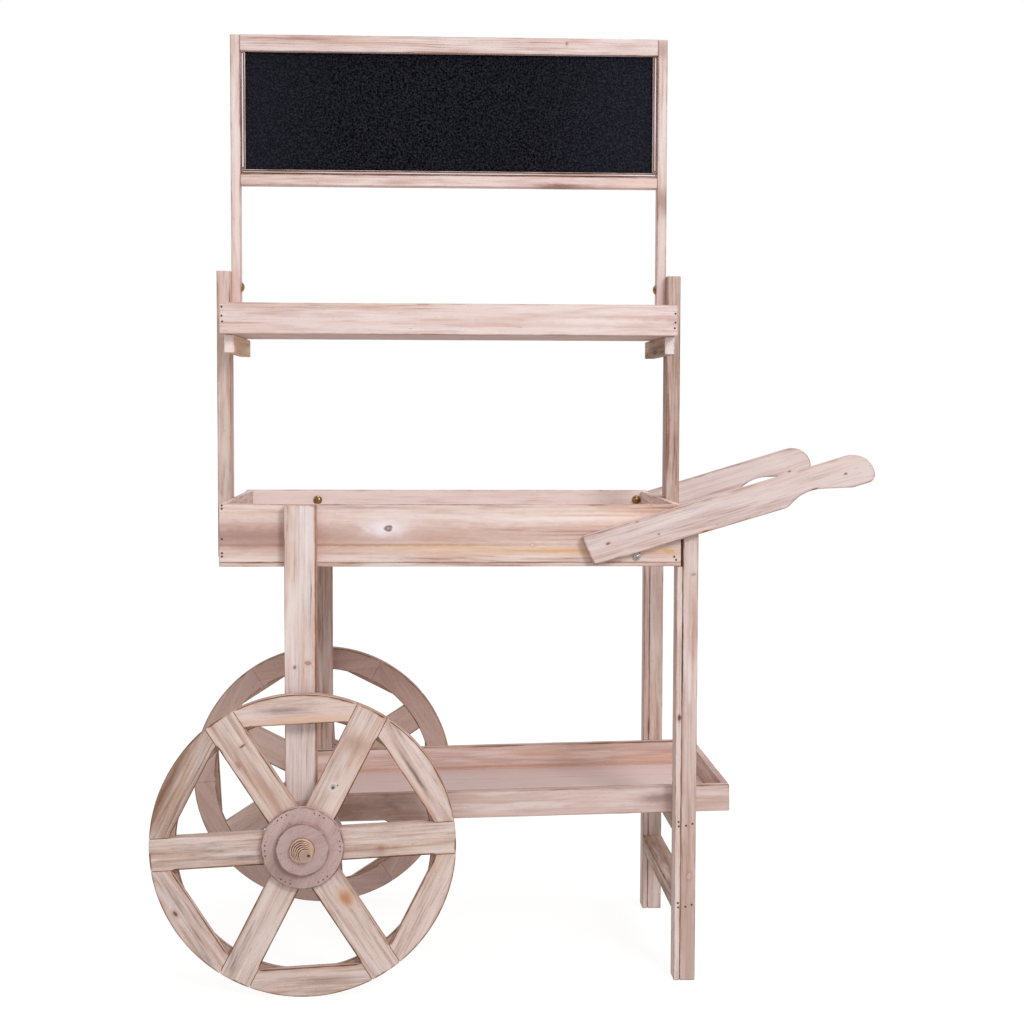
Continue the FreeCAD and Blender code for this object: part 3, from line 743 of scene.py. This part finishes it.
# the right cleat's copy is darker and the left cleat's copy below it lighter: painted shade and
# painted light, as if lit from the right
right_cleat_shaded_wood = wood("right_cleat_shaded_wood", (204, 176, 154), (138, 106, 84), (255, 244, 240),
    smudge=0.4, late=0.34, wash=0.3, burn=0.5)
left_cleat_lit_wood = wood("left_cleat_lit_wood", (228, 196, 166), (160, 124, 100),
    (246, 232, 228), smudge=0.3, late=0.3, wash=0.3, burn=0.5)
crossbar_wood = wood("crossbar_wood", (196, 168, 152), (132, 100, 84),
    (170, 132, 110), smudge=0.5)
leg_wood = wood("leg_wood", (216, 194, 187), (176, 138, 122), (150, 116, 98),
    marks=marks_on("front_leg_inner_board", "front_leg_outer_board"))
wheel_leg_wood = wood("wheel_leg_wood", (232, 216, 213), (198, 170, 160),
    (180, 146, 128), late=0.26, glow=0.5, glow_colour=(206, 142, 100), burn=0.6,
    marks=marks_on("front_wheel_leg"))
lower_wood = wood("lower_wood", (214, 188, 180), (174, 140, 128), (176, 140, 122),
    late=0.1, broad=0.24, marks=marks_on("lower_rail_front", "lower_rail_back"))
floor_wood = wood("floor_wood", (222, 200, 197), (208, 182, 177), (176, 140, 122),
    late=0.03, broad=0.1, fibre=0.2, wash=0.1, smudge=0.05, honey=0.0)
spoke_wood = wood("spoke_wood", (222, 200, 190), (164, 126, 108), (190, 154, 132),
    smudge=0.5, burn=0.95, glow=0.75, ring=0.0055, late=0.18, broad=0.42, fibre=0.55, steady=0.8,
    specks=0.25, marks=marks_on("front_spoke_1", "front_spoke_0", "front_spoke_5", "front_spoke_2"))
felloe_wood = wood("felloe_wood", (224, 200, 190), (160, 122, 104), (188, 150, 128),
    smudge=0.5, burn=0.95, glow=0.8, ring=0.006, late=0.2, broad=0.42, fibre=0.55, steady=0.8,
    specks=0.4,
    marks=marks_on("front_felloe_0", "front_felloe_1", "front_felloe_2", "front_felloe_3"))
FAR = dict(smudge=0.25, burn=0.85, glow=0.4, late=0.05, broad=0.18, fibre=0.3, steady=0.7,
           specks=0.6, wash=0.15, honey=0.1)
far_spoke_wood = wood("far_spoke_wood", (210, 182, 171), (168, 138, 125),
    (150, 116, 100), **FAR)
# the far felloes' copy is lighter and tan: painted light of their lit chord side
far_felloe_wood = wood("far_felloe_wood", (220, 190, 170), (178, 144, 124),
    (206, 168, 140), **FAR)
ring_wood = wood("ring_wood", (200, 170, 160), (156, 124, 113), (190, 152, 128),
    **FAR)
hub_wood = wood("hub_wood", (203, 173, 169), (166, 132, 127), (140, 108, 98),
    late=0.02, broad=0.16, fibre=0.25, specks=0.9, burn=0.7, burn_colour=(84, 58, 50), glow=0.1,
    wash=0.4, pale=(214, 192, 190), grey=(146, 122, 120), steady=0.7, honey=0.1,
    marks=marks_on("front_hub_outer_disc", flat=True))
dowel_wood = wood("dowel_wood", light=(222, 186, 164), dark=(180, 142, 120), ring=0.0018, late=0.25,
    end=(170, 144, 132), burn=0.95, burn_colour=(84, 56, 42), glow=0.3, glow_colour=(206, 158, 122),
    broad=0.25, fibre=0.3, wash=0.2, steady=1.0, warp=0.002, honey=0.0, smudge=0.1)
board_paint = chalkboard("chalkboard")
brass = metal("brass", (176, 150, 104), (96, 72, 44), 0.3)
steel = metal("steel", (188, 186, 182), (120, 112, 104), 0.4)
iron = metal("iron", (74, 56, 48), (112, 82, 66), 0.7, 0.4, 900.0)

# ------------ trays, posts, shelf and sign
board("tray_front_board", X, Y, "tray_wood", tray_front_wood, (1.02, 0.0, 0.3), flat=True)
# the tone of 1.13 adds more painted light to the back board's shaded inner face
board("tray_back_board", X, Y, "tray_wood", tray_back_lit_wood, (1.13, -0.3, 0.3))
board("tray_left_end", Y, X, "tray_wood", tray_wood, (0.97, 0.1, 0.4))
# the right end's higher tone is painted light on its shaded inner face
board("tray_right_end", Y, X, "tray_wood", tray_wood, (1.06, 0.04, 0.4))

floor_strips("tray_floor", "tray_floor_planks", "tray_floor", *box("tray_floor"), 5,
             lambda k: (0.96, 0.05 * (k % 3), 0.5), "tray_wood", tray_wood)

TILT, AXLE_TOP = math.radians(-1.2), 15.1
pivot = Vector((AXLE.x, 0, AXLE.z + AXLE_TOP))
tilted = Matrix.Translation(pivot) @ Matrix.Rotation(TILT, 4, "Y")
REACH, LENGTH, RAIL, BACK_RAIL, SIDE, END = 38.0, 713.0, 43.0, 47.0, 15.0, 12.0
inside = box("lower_tray_front_rail")[0].y
for side, y, rail in (("front", inside, RAIL), ("back", -inside - SIDE, BACK_RAIL)):
    shape = plank(Shape(), "lower_rail_" + side, Vector((-REACH, y, 0)),
                  Vector((LENGTH - REACH, y + SIDE, rail)), X, Y, tilted,
                  look=(1.0, 0.05, 0.4) if side == "front" else (1.09, 0.05, 0.3),
                  edge=lambda p: (1.9, 1.0) if p.y < 4 else (1.0, 1.0))
    shape.build("lower_tray_%s_rail_board" % side, "cart", "tray_wood", lower_wood,
                ["lower_tray_%s_rail" % side])
for side, x in (("left", -REACH), ("right", LENGTH - REACH - END)):
    shape = plank(Shape(), "lower_end_" + side, Vector((x, inside + SIDE, 0)),
                  Vector((x + END, -inside - SIDE, RAIL)), Y, X, tilted, look=(0.95, 0.15, 0.4))
    shape.build("lower_tray_%s_end_board" % side, "cart", "tray_wood", lower_wood,
                ["lower_tray_%s_end" % side])
floor_strips("lower_tray_floor", "lower_tray_floor_planks", "lower_floor",
             Vector((END - REACH, inside + SIDE, 0)),
             Vector((LENGTH - REACH - END, -inside - SIDE, 5)), 4,
             lambda k: (1.09, 0.03 * k - 0.05, 0.3), "tray_wood", floor_wood, 0.7, tilted)

for node, along, slot, material, look in (
        ("left_post", Z, "brown_wood", brown_wood, (1.0, -0.05, 0.4)),
        ("right_post", Z, "brown_wood", brown_wood, (0.89, 0.3, 0.7)),
        # the left cleat's higher tone and the right cleat's lower one are more painted light and
        # painted shade
        ("left_shelf_cleat", Y, "brown_wood", left_cleat_lit_wood, (1.06, 0.0, 0.3)),
        ("right_shelf_cleat", Y, "brown_wood", right_cleat_shaded_wood, (0.94, 0.3, 0.5)),
        ("shelf_front_rail", X, "pale_wood", pale_wood, (1.0, 0.0, 0.2)),
        ("shelf_back_rail", X, "pale_wood", pale_wood, (0.99, 0.05, 0.2)),
        ("shelf_left_end", Y, "pale_wood", pale_wood, (0.98, 0.05, 0.2)),
        ("shelf_right_end", Y, "pale_wood", pale_wood, (0.98, 0.05, 0.2))):
    board(node, along, Y if along == X else X, slot, material, look)
floor_strips("shelf_floor", "shelf_floor_planks", "shelf_floor", *box("shelf_floor"), 3,
             lambda k: (0.98, 0.04 * k, 0.4), "pale_wood", pale_wood)

board("sign_left_stile", Z, X, "pale_wood", pale_wood, (1.01, -0.05, 0.1))
board("sign_right_stile", Z, X, "pale_wood", pale_wood, (0.96, 0.04, 0.25))
board("sign_top_rail", X, Y, "pale_wood", pale_wood, (0.95, 0.08, 0.1))
board("sign_bottom_rail", X, Y, "pale_wood", pale_wood, (1.0, 0.02, 0.2), radius=1.0)
low, high = box("sign_beads")
BEAD = 8.5
shape = Shape()
for key, a, b, along, look in (
        ("bead_bottom", low, (high.x, high.y, low.z + BEAD), X, (0.98, 0.1, 0.2)),
        ("bead_left", (low.x, low.y, low.z + BEAD), (low.x + BEAD, high.y, high.z), Z,
         (1.0, 0.05, 0.2)),
        ("bead_right", (high.x - BEAD, low.y, low.z + BEAD), high, Z, (0.97, 0.1, 0.2))):
    plank(shape, key, Vector(a), Vector(b), along, Y, radius=2.2, look=look)
shape.build("sign_bead_strips", "cart", "pale_wood", pale_wood, ["sign_beads"])
low, high = box("chalkboard_panel")
plank(Shape(), "panel", low, high, X, Y, radius=0.5, rough=0.1).build(
    "chalkboard_sheet", "cart", "chalkboard", board_paint, ["chalkboard_panel"])

# ------------ legs and crossbars
WORN = 1.6  # how round the arrises of the legs and crossbars are
for side, (bright, warm, grey) in (("front", (1.04, -0.06, 0.45)), ("back", (0.98, 0.08, 0.5))):
    board(side + "_leg_outer_board", Z, Y, "tray_wood", leg_wood,
          (bright * 0.97, warm + 0.12, grey), radius=WORN)
    board(side + "_leg_inner_board", Z, Y, "tray_wood", leg_wood, (bright, warm, grey),
          radius=WORN - 0.4)
board("front_wheel_leg", Z, Y, "tray_wood", wheel_leg_wood, (1.0, 0.0, 0.3), radius=WORN,
      edge=lambda p: (3.0, 1.0) if p.y > 40 else (1.0, 1.0))
board("back_wheel_leg", Z, Y, "tray_wood", brown_wood, (0.86, 0.22, 0.3), radius=WORN)
for node in ("upper_leg_crossbar", "lower_leg_crossbar"):
    board(node, Y, X, "tray_wood", crossbar_wood, (1.0, 0.1, 0.5), radius=WORN)

# ------------ handles
TIP, GRIP_START, HANDLE_THICK = 562.0, 478.0, 20.0
FOOT_X, FOOT_Z = LEFT + TIP, 708.5
TOP_X, TOP_Z = TIP - 7.1, 846.3
ORIGIN_X = 103.0
HANDLE = ((FOOT_X, FOOT_Z, 2), (FOOT_X + 19, 663.5, 2), (GRIP_START - 52, 754.0, 20),
          (GRIP_START - 27.4, 782.0, 66), (GRIP_START + 49, 785.5, 60), (TIP + 1.8, 796.3, 13),
          (TOP_X, TOP_Z, 34))
slope = math.degrees(math.atan2(TOP_Z - FOOT_Z, TOP_X - FOOT_X))
outer_face = box("front_handle")[0].y
for side, flip, look in (("front", 1, (0.96, 0.0, 0.2)), ("back", -1, (0.97, 0.04, 0.25))):
    corners = [(x - ORIGIN_X, z - FOOT_Z, r) for x, z, r in HANDLE]
    if side == "back":  # seen from behind, x runs the other way
        corners = [(-x, z, r) for x, z, r in reversed(corners)]
    base = Vector((ORIGIN_X, (outer_face + HANDLE_THICK) * flip, FOOT_Z))
    shape = slab(Shape(), side + "_handle", corners, HANDLE_THICK, base, AXES[X] * flip, AXES[Z],
                 AXES[Y] * -flip, radius=3.0, grain=slope * flip, look=look, margin=8.0, flat=True)
    shape.build(side + "_handle_board", "cart", "tray_wood", handle_wood, [side + "_handle"])

# ------------ wheels


def spin(angle, ex, ey):
    c, s = circle_point(1, angle)
    return ex * c + ey * s, -ex * s + ey * c


def arc_points(radius, start, end, n):
    return [circle_point(radius, start + (end - start) * k / n) for k in range(n + 1)]


def spoke_scorch_and_shade(p, up):
    """A spoke's lower arris is darker, painted shade on top of its scorch, and both are sharp and
    clean where the felloes meet it.
    """
    if p.x > CHORD + 13 and abs(p.y) > SPOKE_HALF - 3:
        return 0.6, 0.6
    # more dark line on the lower arris and less on the upper: painted shade and painted light
    return 1.35 - math.copysign(0.75, p.y) * up, 1.0


def felloe_edge(p):
    """A felloe's two ends are sharp and clean, because they butt against the spokes."""
    from_spoke = p.y * 0.5 - abs(p.x) * math.cos(math.radians(30))
    return (0.6, 0.6) if from_spoke < SPOKE_HALF + 2.5 else (1.4, 1.0)


def ring_edge(p):
    """The ring's segments are glued end to end, so their ends hardly show."""
    return (0.15, 0.12) if abs(p.x) > 0.565 * p.y else (1.3, 1.0)


def clip_spoke(p, height):
    """The spoke's back layer stops where the ring begins: its last 43 mm shrink to 4 mm."""
    stop, tip = math.sqrt(RING_INNER ** 2 - p.y ** 2), math.sqrt(WHEEL_RADIUS ** 2 - p.y ** 2)
    if height < RING_THICK - 0.05 and p.x > stop - 4:
        return Vector((stop - 4 + (p.x - stop + 4) * 4 / (tip - stop + 4), p.y))
    return p


SPOKE_LOOK = ((0.97, 0.05, 0.35), (0.98, 0.1, 0.3), (1.0, 0.02, 0.5), (0.97, 0.1, 0.8),
              (0.97, 0.06, 0.8), (0.98, 0.04, 0.5))
FELLOE_LOOK = ((1.0, 0.0, 0.8), (1.01, 0.0, 0.7), (0.82, 0.32, 1.0), (0.96, 0.06, 0.6),
               (0.95, 0.08, 0.4), (0.97, 0.06, 0.4))
for side, toward, spoke_turn in (("front", -1, FRONT_TURN), ("back", 1, BACK_TURN)):
    body = side + "_wheel"
    ex, ey, ez = AXES[X], AXES[Z] * -toward, AXES[Y] * toward
    back_face = min(abs(v.y) for v in box(side + "_wheel_spokes"))
    at = Vector((AXLE.x, toward * back_face, AXLE.z))
    far = side == "back"
    spokes, felloes, ring = Shape(), Shape(), Shape()
    tip = math.degrees(math.asin(SPOKE_HALF / WHEEL_RADIUS))
    for k in range(6):
        ux, uy = spin(60 * k + spoke_turn, ex, ey)
        look = SPOKE_LOOK[k]
        if far:
            look = (look[0], look[1] + 0.05, 0.3)
        outer = arc_points(WHEEL_RADIUS, -tip, tip, 6)
        corners = [(SPOKE_START, -SPOKE_HALF)] + outer + [(SPOKE_START, SPOKE_HALF)]
        slab(spokes, "%s_spoke_%d" % (side, k), corners, WHEEL_THICK, at, ux, uy, ez, radius=1.3,
             look=look, squeeze=clip_spoke, layers=(RING_THICK - 0.1, RING_THICK + 0.02),
             # the edge share paints shade on each spoke's lower arris
             edge=lambda p, up=uy.z: spoke_scorch_and_shade(p, up))
        # a felloe: its chord is along its own x
        mx, my = spin(60 * k + 30 + spoke_turn - 90, ex, ey)
        look = FELLOE_LOOK[k]
        if far:
            look = (look[0] * 0.98, look[1] + 0.05, 0.4)
        end = 30 - tip
        side_x = (0.5 * CHORD - SPOKE_HALF) / math.cos(math.radians(30))
        rim = [(y, x) for x, y in arc_points(WHEEL_RADIUS, end - 0.12, -end + 0.12, 22)]
        corners = [(-side_x + 0.3, CHORD), (side_x - 0.3, CHORD)] + rim
        slab(felloes, "%s_felloe_%d" % (side, k), corners, WHEEL_THICK - RING_THICK,
             at + ez * RING_THICK, mx, my, ez, radius=1.0, look=look, edge=felloe_edge)
        # a ring segment behind a spoke
        look = (1.02, 0.02 * (k % 3), 0.4)
        sx, sy = spin(60 * k + spoke_turn - 90, ex, ey)
        inner = [(y, x) for x, y in arc_points(RING_INNER, -29.99, 29.99, 26)]
        outer = [(y, x) for x, y in arc_points(WHEEL_RADIUS, 29.99, -29.99, 30)]
        slab(ring, "%s_ring_%d" % (side, k), inner + outer, RING_THICK, at, sx, sy, ez,
             radius=1.2, look=look, edge=ring_edge)
    spokes.build(side + "_spoke_boards", body, "wheel_wood", far_spoke_wood if far else spoke_wood,
                 [side + "_wheel_spokes"])
    felloes.build(side + "_felloe_boards", body, "wheel_wood",
                  far_felloe_wood if far else felloe_wood, [side + "_wheel_felloes"])
    ring.build(side + "_ring_boards", body, "wheel_wood", ring_wood, [side + "_wheel_ring"])

    for part, radius, inner, worn, grain, look in (
            ("hub_inner_disc", HUB_DISC, HUB_BORE, 1.4, 35.0, (0.9, 0.1, 0.5)),
            ("hub_core", HUB_CORE, HUB_BORE, 0.6, 80.0, (0.85, 0.2, 0.5)),
            ("hub_outer_disc", HUB_DISC, HUB_BORE, 2.0, 62.0, (0.96, 0.02, 0.5)),
            ("axle_cap", CAP, CAP_BORE, 2.0, 20.0, (0.87, 0.04, 0.5))):
        node = "%s_%s" % (side, part)
        low, high = box(node)
        thick = high.y - low.y
        start = Vector((AXLE.x, toward * min(abs(low.y), abs(high.y)), AXLE.z))
        profile = [(inner, 0, 0.4), (radius - 8, 0, 0), (radius - 4, 0, 0.2),
                   (radius - worn, 0, 0.9), (radius - worn * 0.3, worn * 0.3, 1.0),
                   (radius, worn, 0.9), (radius, thick / 2, 0.2), (radius, thick - worn, 0.85),
                   (radius - worn * 0.13, thick - worn * 0.5, 1.0),
                   (radius - worn * 0.5, thick - worn * 0.13, 1.0), (radius - worn, thick, 0.8),
                   (radius - 4, thick, 0.25), (radius - 8, thick, 0), (inner + 5, thick, 0.1),
                   (inner + 0.8, thick, 0.7), (inner, thick - 0.8, 1.0)]
        shape = lathe(Shape(), node, profile, start, ex, ey, ez, 96, grain, look)
        shape.build(node + "_turned", "cart" if part == "axle_cap" else body, "hub_wood",
                    hub_wood, [node])

    # the journal's end is whittled down in uneven steps, off centre
    low, high = box(side + "_axle_journal")
    base_y = min(abs(low.y), abs(high.y))
    length = high.y - low.y
    levels, rise, step_x, step_y = 5, 1.5, 1.18, 1.02
    foot_height = length - levels * rise

    def whittled(height, foot_height=foot_height, up=-toward):
        level = math.ceil((height - foot_height) / rise - 1e-4) if height > foot_height else 0
        return Vector((step_x * level, -step_y * level * up))

    profile = [(0, 0, 0), (JOURNAL - 0.2, 0, 0.3), (JOURNAL, foot_height - 3, 0),
               (JOURNAL, foot_height - 0.5, 0.1), (JOURNAL - 0.4, foot_height, 0.5)]
    # each step's inner crease gets a high wear, so the dark line there is painted shade, over the
    # shade the steps themselves cast
    for level in range(1, levels + 1):
        r, foot_here = JOURNAL - 0.2 - 1.68 * level, foot_height + (level - 1) * rise
        profile += [(r + 1.1, foot_here, 0.15), (r + 0.5, foot_here, 0.75),
                    (r + 0.02, foot_here + 0.02, 1.5), (r, foot_here + 0.6, 1.3),
                    (r - 0.1, foot_here + rise - 0.5, 0.2), (r - 0.5, foot_here + rise - 0.06, 0.0)]
    profile += [(r - 1.2, length - 0.06, 0.1, 0.9), (4.0, length - 0.06, 0.0, 1.0),
                (0, length - 0.06, 0.0)]
    start = Vector((AXLE.x, toward * base_y, AXLE.z))
    shape = lathe(Shape(), side + "_journal", profile, start, ex, ey, ez, 72,
                  look=(0.98, 0.0, 0.3), endwise=True, drift=whittled, wobble=0.3, closed=False,
                  offset=Vector((4.0, -0.003, 0.0025)))
    lathe(shape, side + "_pith", [(0, length - 0.6, 1.0), (3.0, length - 0.6, 1.0),
                                  (3.0, length - 0.05, 1.0), (2.0, length - 0.03, 1.0),
                                  (0, length - 0.02, 1.0)],
          start + ex * 10.8 + ey * 5.4 * toward, ex, ey, ez, 20, look=(0.75, 0.5, 0.3),
          closed=False, wobble=0.8)
    shape.build(side + "_journal_dowel", "cart", "dowel_wood", dowel_wood,
                [side + "_axle_journal"])

low, high = box("axle")
length = high.y - low.y
lathe(Shape(), "axle_dowel", [(0, 0, 0.2), (ROD - 0.9, 0, 0.6), (ROD, 1, 0.8)]
      + [(ROD, length * k / 12, 0.1) for k in range(1, 12)]
      + [(ROD, length - 1, 0.8), (ROD - 0.9, length, 0.6), (0, length, 0.2)],
      Vector((AXLE.x, high.y, AXLE.z)), AXES[X], AXES[Z], -AXES[Y], 48, endwise=True,
      wobble=0.25, closed=False).build("axle_rod", "cart", "dowel_wood", dowel_wood, ["axle"])

# ------------ hardware


def dome(shape, at, ez, ex, shank):
    """A carriage bolt: a low dome on a thin rim, with its shank behind."""
    ey = ez.cross(ex)
    profile = [(0, -shank, 0), (2.6, -shank, 0), (3.0, -shank + 0.6, 0), (3.0, -0.2, 0),
               (7.6, 0.0, 0), (7.95, 0.35, 0), (7.9, 0.8, 0), (7.2, 2.0, 0), (6.0, 3.1, 0),
               (4.4, 4.1, 0), (2.4, 4.75, 0), (0, 4.98, 0)]
    lathe(shape, "dome", profile, at, ex, ey, ez, 32, closed=False)


def bolts(node, places, ex, shank):
    """All the bolts of one kind; places are (point, the way the head looks)."""
    shape = Shape()
    for at, ez in places:
        dome(shape, at, ez, ex, shank)
    shape.build(node + "_turned", "cart", "brass_bolts", brass, [node])


top, inner = box("tray_front_board")[1].z, -box("tray_front_board")[1].y
RIM_SHANK, SIGN_SHANK = 29.0, 32.5


def rim_bolts(node, places):
    """Bolts through both long boards, at an x and a drop below the rim."""
    bolts(node, [(Vector((x, toward * inner, top - drop)), AXES[Y] * -toward)
                 for toward in (-1, 1) for x, drop in places], AXES[X], RIM_SHANK)


rim_bolts("wheel_leg_bolts", ((AXLE.x - 5, 16), (AXLE.x - 5, 70)))
rim_bolts("handle_bolts", ((RIGHT - 20.5, 15), (RIGHT - 95, 58)))
sign_low, sign_high = box("sign_left_stile")
post_top = box("right_post")[1].z
bolts("sign_bolts", [(Vector((edge - toward * (sign_high.x - sign_low.x),
                              (sign_low.y + sign_high.y) / 2, post_top - 21)), AXES[X] * -toward)
                     for toward, edge in ((-1, LEFT), (1, RIGHT))], AXES[Z], SIGN_SHANK)

NUT_ACROSS_FLATS = 11
hexagon = arc_points(NUT_ACROSS_FLATS / math.sqrt(3), 30, 330, 5)
shape = Shape()
for toward in (-1, 1):
    centre = Vector((RIGHT - 70, toward * -box("tray_front_board")[0].y,
                     box("tray_floor")[0].z + 16))
    ez = AXES[Y] * toward
    slab(shape, "nut", hexagon, 5.2, centre, AXES[X], ez.cross(AXES[X]), ez, radius=0.7, rough=0.0,
         margin=2.0, step=4.0)
    lathe(shape, "stud", [(0, 0, 0), (3, 0, 0), (3, 5.6, 0), (2.5, 5.95, 0), (0, 5.98, 0)], centre,
          AXES[X], ez.cross(AXES[X]), ez, 20, closed=False)
shape.build("tray_nuts_hex", "cart", "steel_hardware", steel, ["tray_nuts"])
for node, material in (("post_screws", steel), ("nail_heads", iron),
                       ("front_hub_brads", iron), ("back_hub_brads", iron)):
    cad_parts[node].data.materials.clear()
    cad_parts[node].data.materials.append(material)

# ------------ stage, camera and light
floor_mesh = bpy.data.meshes.new("floor")
span = 60.0
floor_mesh.from_pydata([(-span, -span, 0), (span, -span, 0), (span, span, 0), (-span, span, 0)],
                       [], [(0, 1, 2, 3)])
floor = add_object("studio_floor", floor_mesh)
net = Net("studio_floor")
ray = net.node("LightPath").outputs["Is Camera Ray"]
glow = net.node("Emission", {"Color": (1, 1, 1, 1),
                             "Strength": net.math("MULTIPLY_ADD", ray, 0.53, 0.6)})
matte = net.node("BsdfDiffuse", {"Color": (0.9, 0.9, 0.9, 1)})
blend = net.node("MixShader", {0: 0.22, 1: glow.outputs[0], 2: matte.outputs[0]})
out = [n for n in net.tree.nodes if n.type == "OUTPUT_MATERIAL"][0]
net.feed(out.inputs["Surface"], blend.outputs[0])
floor_mesh.materials.append(net.material)

YAW, PITCH, ROLL = 0.04899, 0.05870, -0.00316
EYE = Vector((-0.14023, -2.98459, 0.90860))
camera = bpy.data.cameras.new("camera")
camera.sensor_width = 36.0
camera.lens = 62.52
camera.clip_end = 200.0
eye = add_object("camera", camera)
ahead = Vector((math.sin(YAW) * math.cos(PITCH), math.cos(YAW) * math.cos(PITCH),
                -math.sin(PITCH)))
right = Vector((math.cos(YAW), -math.sin(YAW), 0))
up = right.cross(ahead)
across = right * math.cos(ROLL) - up * math.sin(ROLL)
rise = right * math.sin(ROLL) + up * math.cos(ROLL)
turned = Matrix((across, rise, -ahead)).transposed().to_4x4()
eye.matrix_world = Matrix.Translation(EYE) @ turned
bpy.context.scene.camera = eye

world = bpy.data.worlds.new("studio")
bpy.context.scene.world = world
world.use_nodes = True
sky = world.node_tree.nodes["Background"]
sky.inputs["Color"].default_value = (1.0, 1.0, 1.0, 1)
path = world.node_tree.nodes.new("ShaderNodeLightPath")
level = world.node_tree.nodes.new("ShaderNodeMath")
level.operation = "MULTIPLY_ADD"
level.inputs[1].default_value = 1.0 - AMBIENT
level.inputs[2].default_value = AMBIENT
world.node_tree.links.new(path.outputs["Is Camera Ray"], level.inputs[0])
world.node_tree.links.new(level.outputs[0], sky.inputs["Strength"])
bpy.context.scene.view_settings.view_transform = "Standard"


def softbox(name, place, target, size, power):
    light = bpy.data.lights.new(name, "AREA")
    light.shape = "DISK"
    light.size = size
    light.energy = power
    lamp = add_object(name, light)
    lamp.location = place
    lamp.rotation_euler = (Vector(target) - Vector(place)).to_track_quat("-Z", "Y").to_euler()


softbox("key", (1.5, -3.7, 2.6), (0, 0, 0.7), 1.2, 74)
softbox("top", (0.5, -0.6, 4.6), (0, 0, 0.7), 2.4, 40)
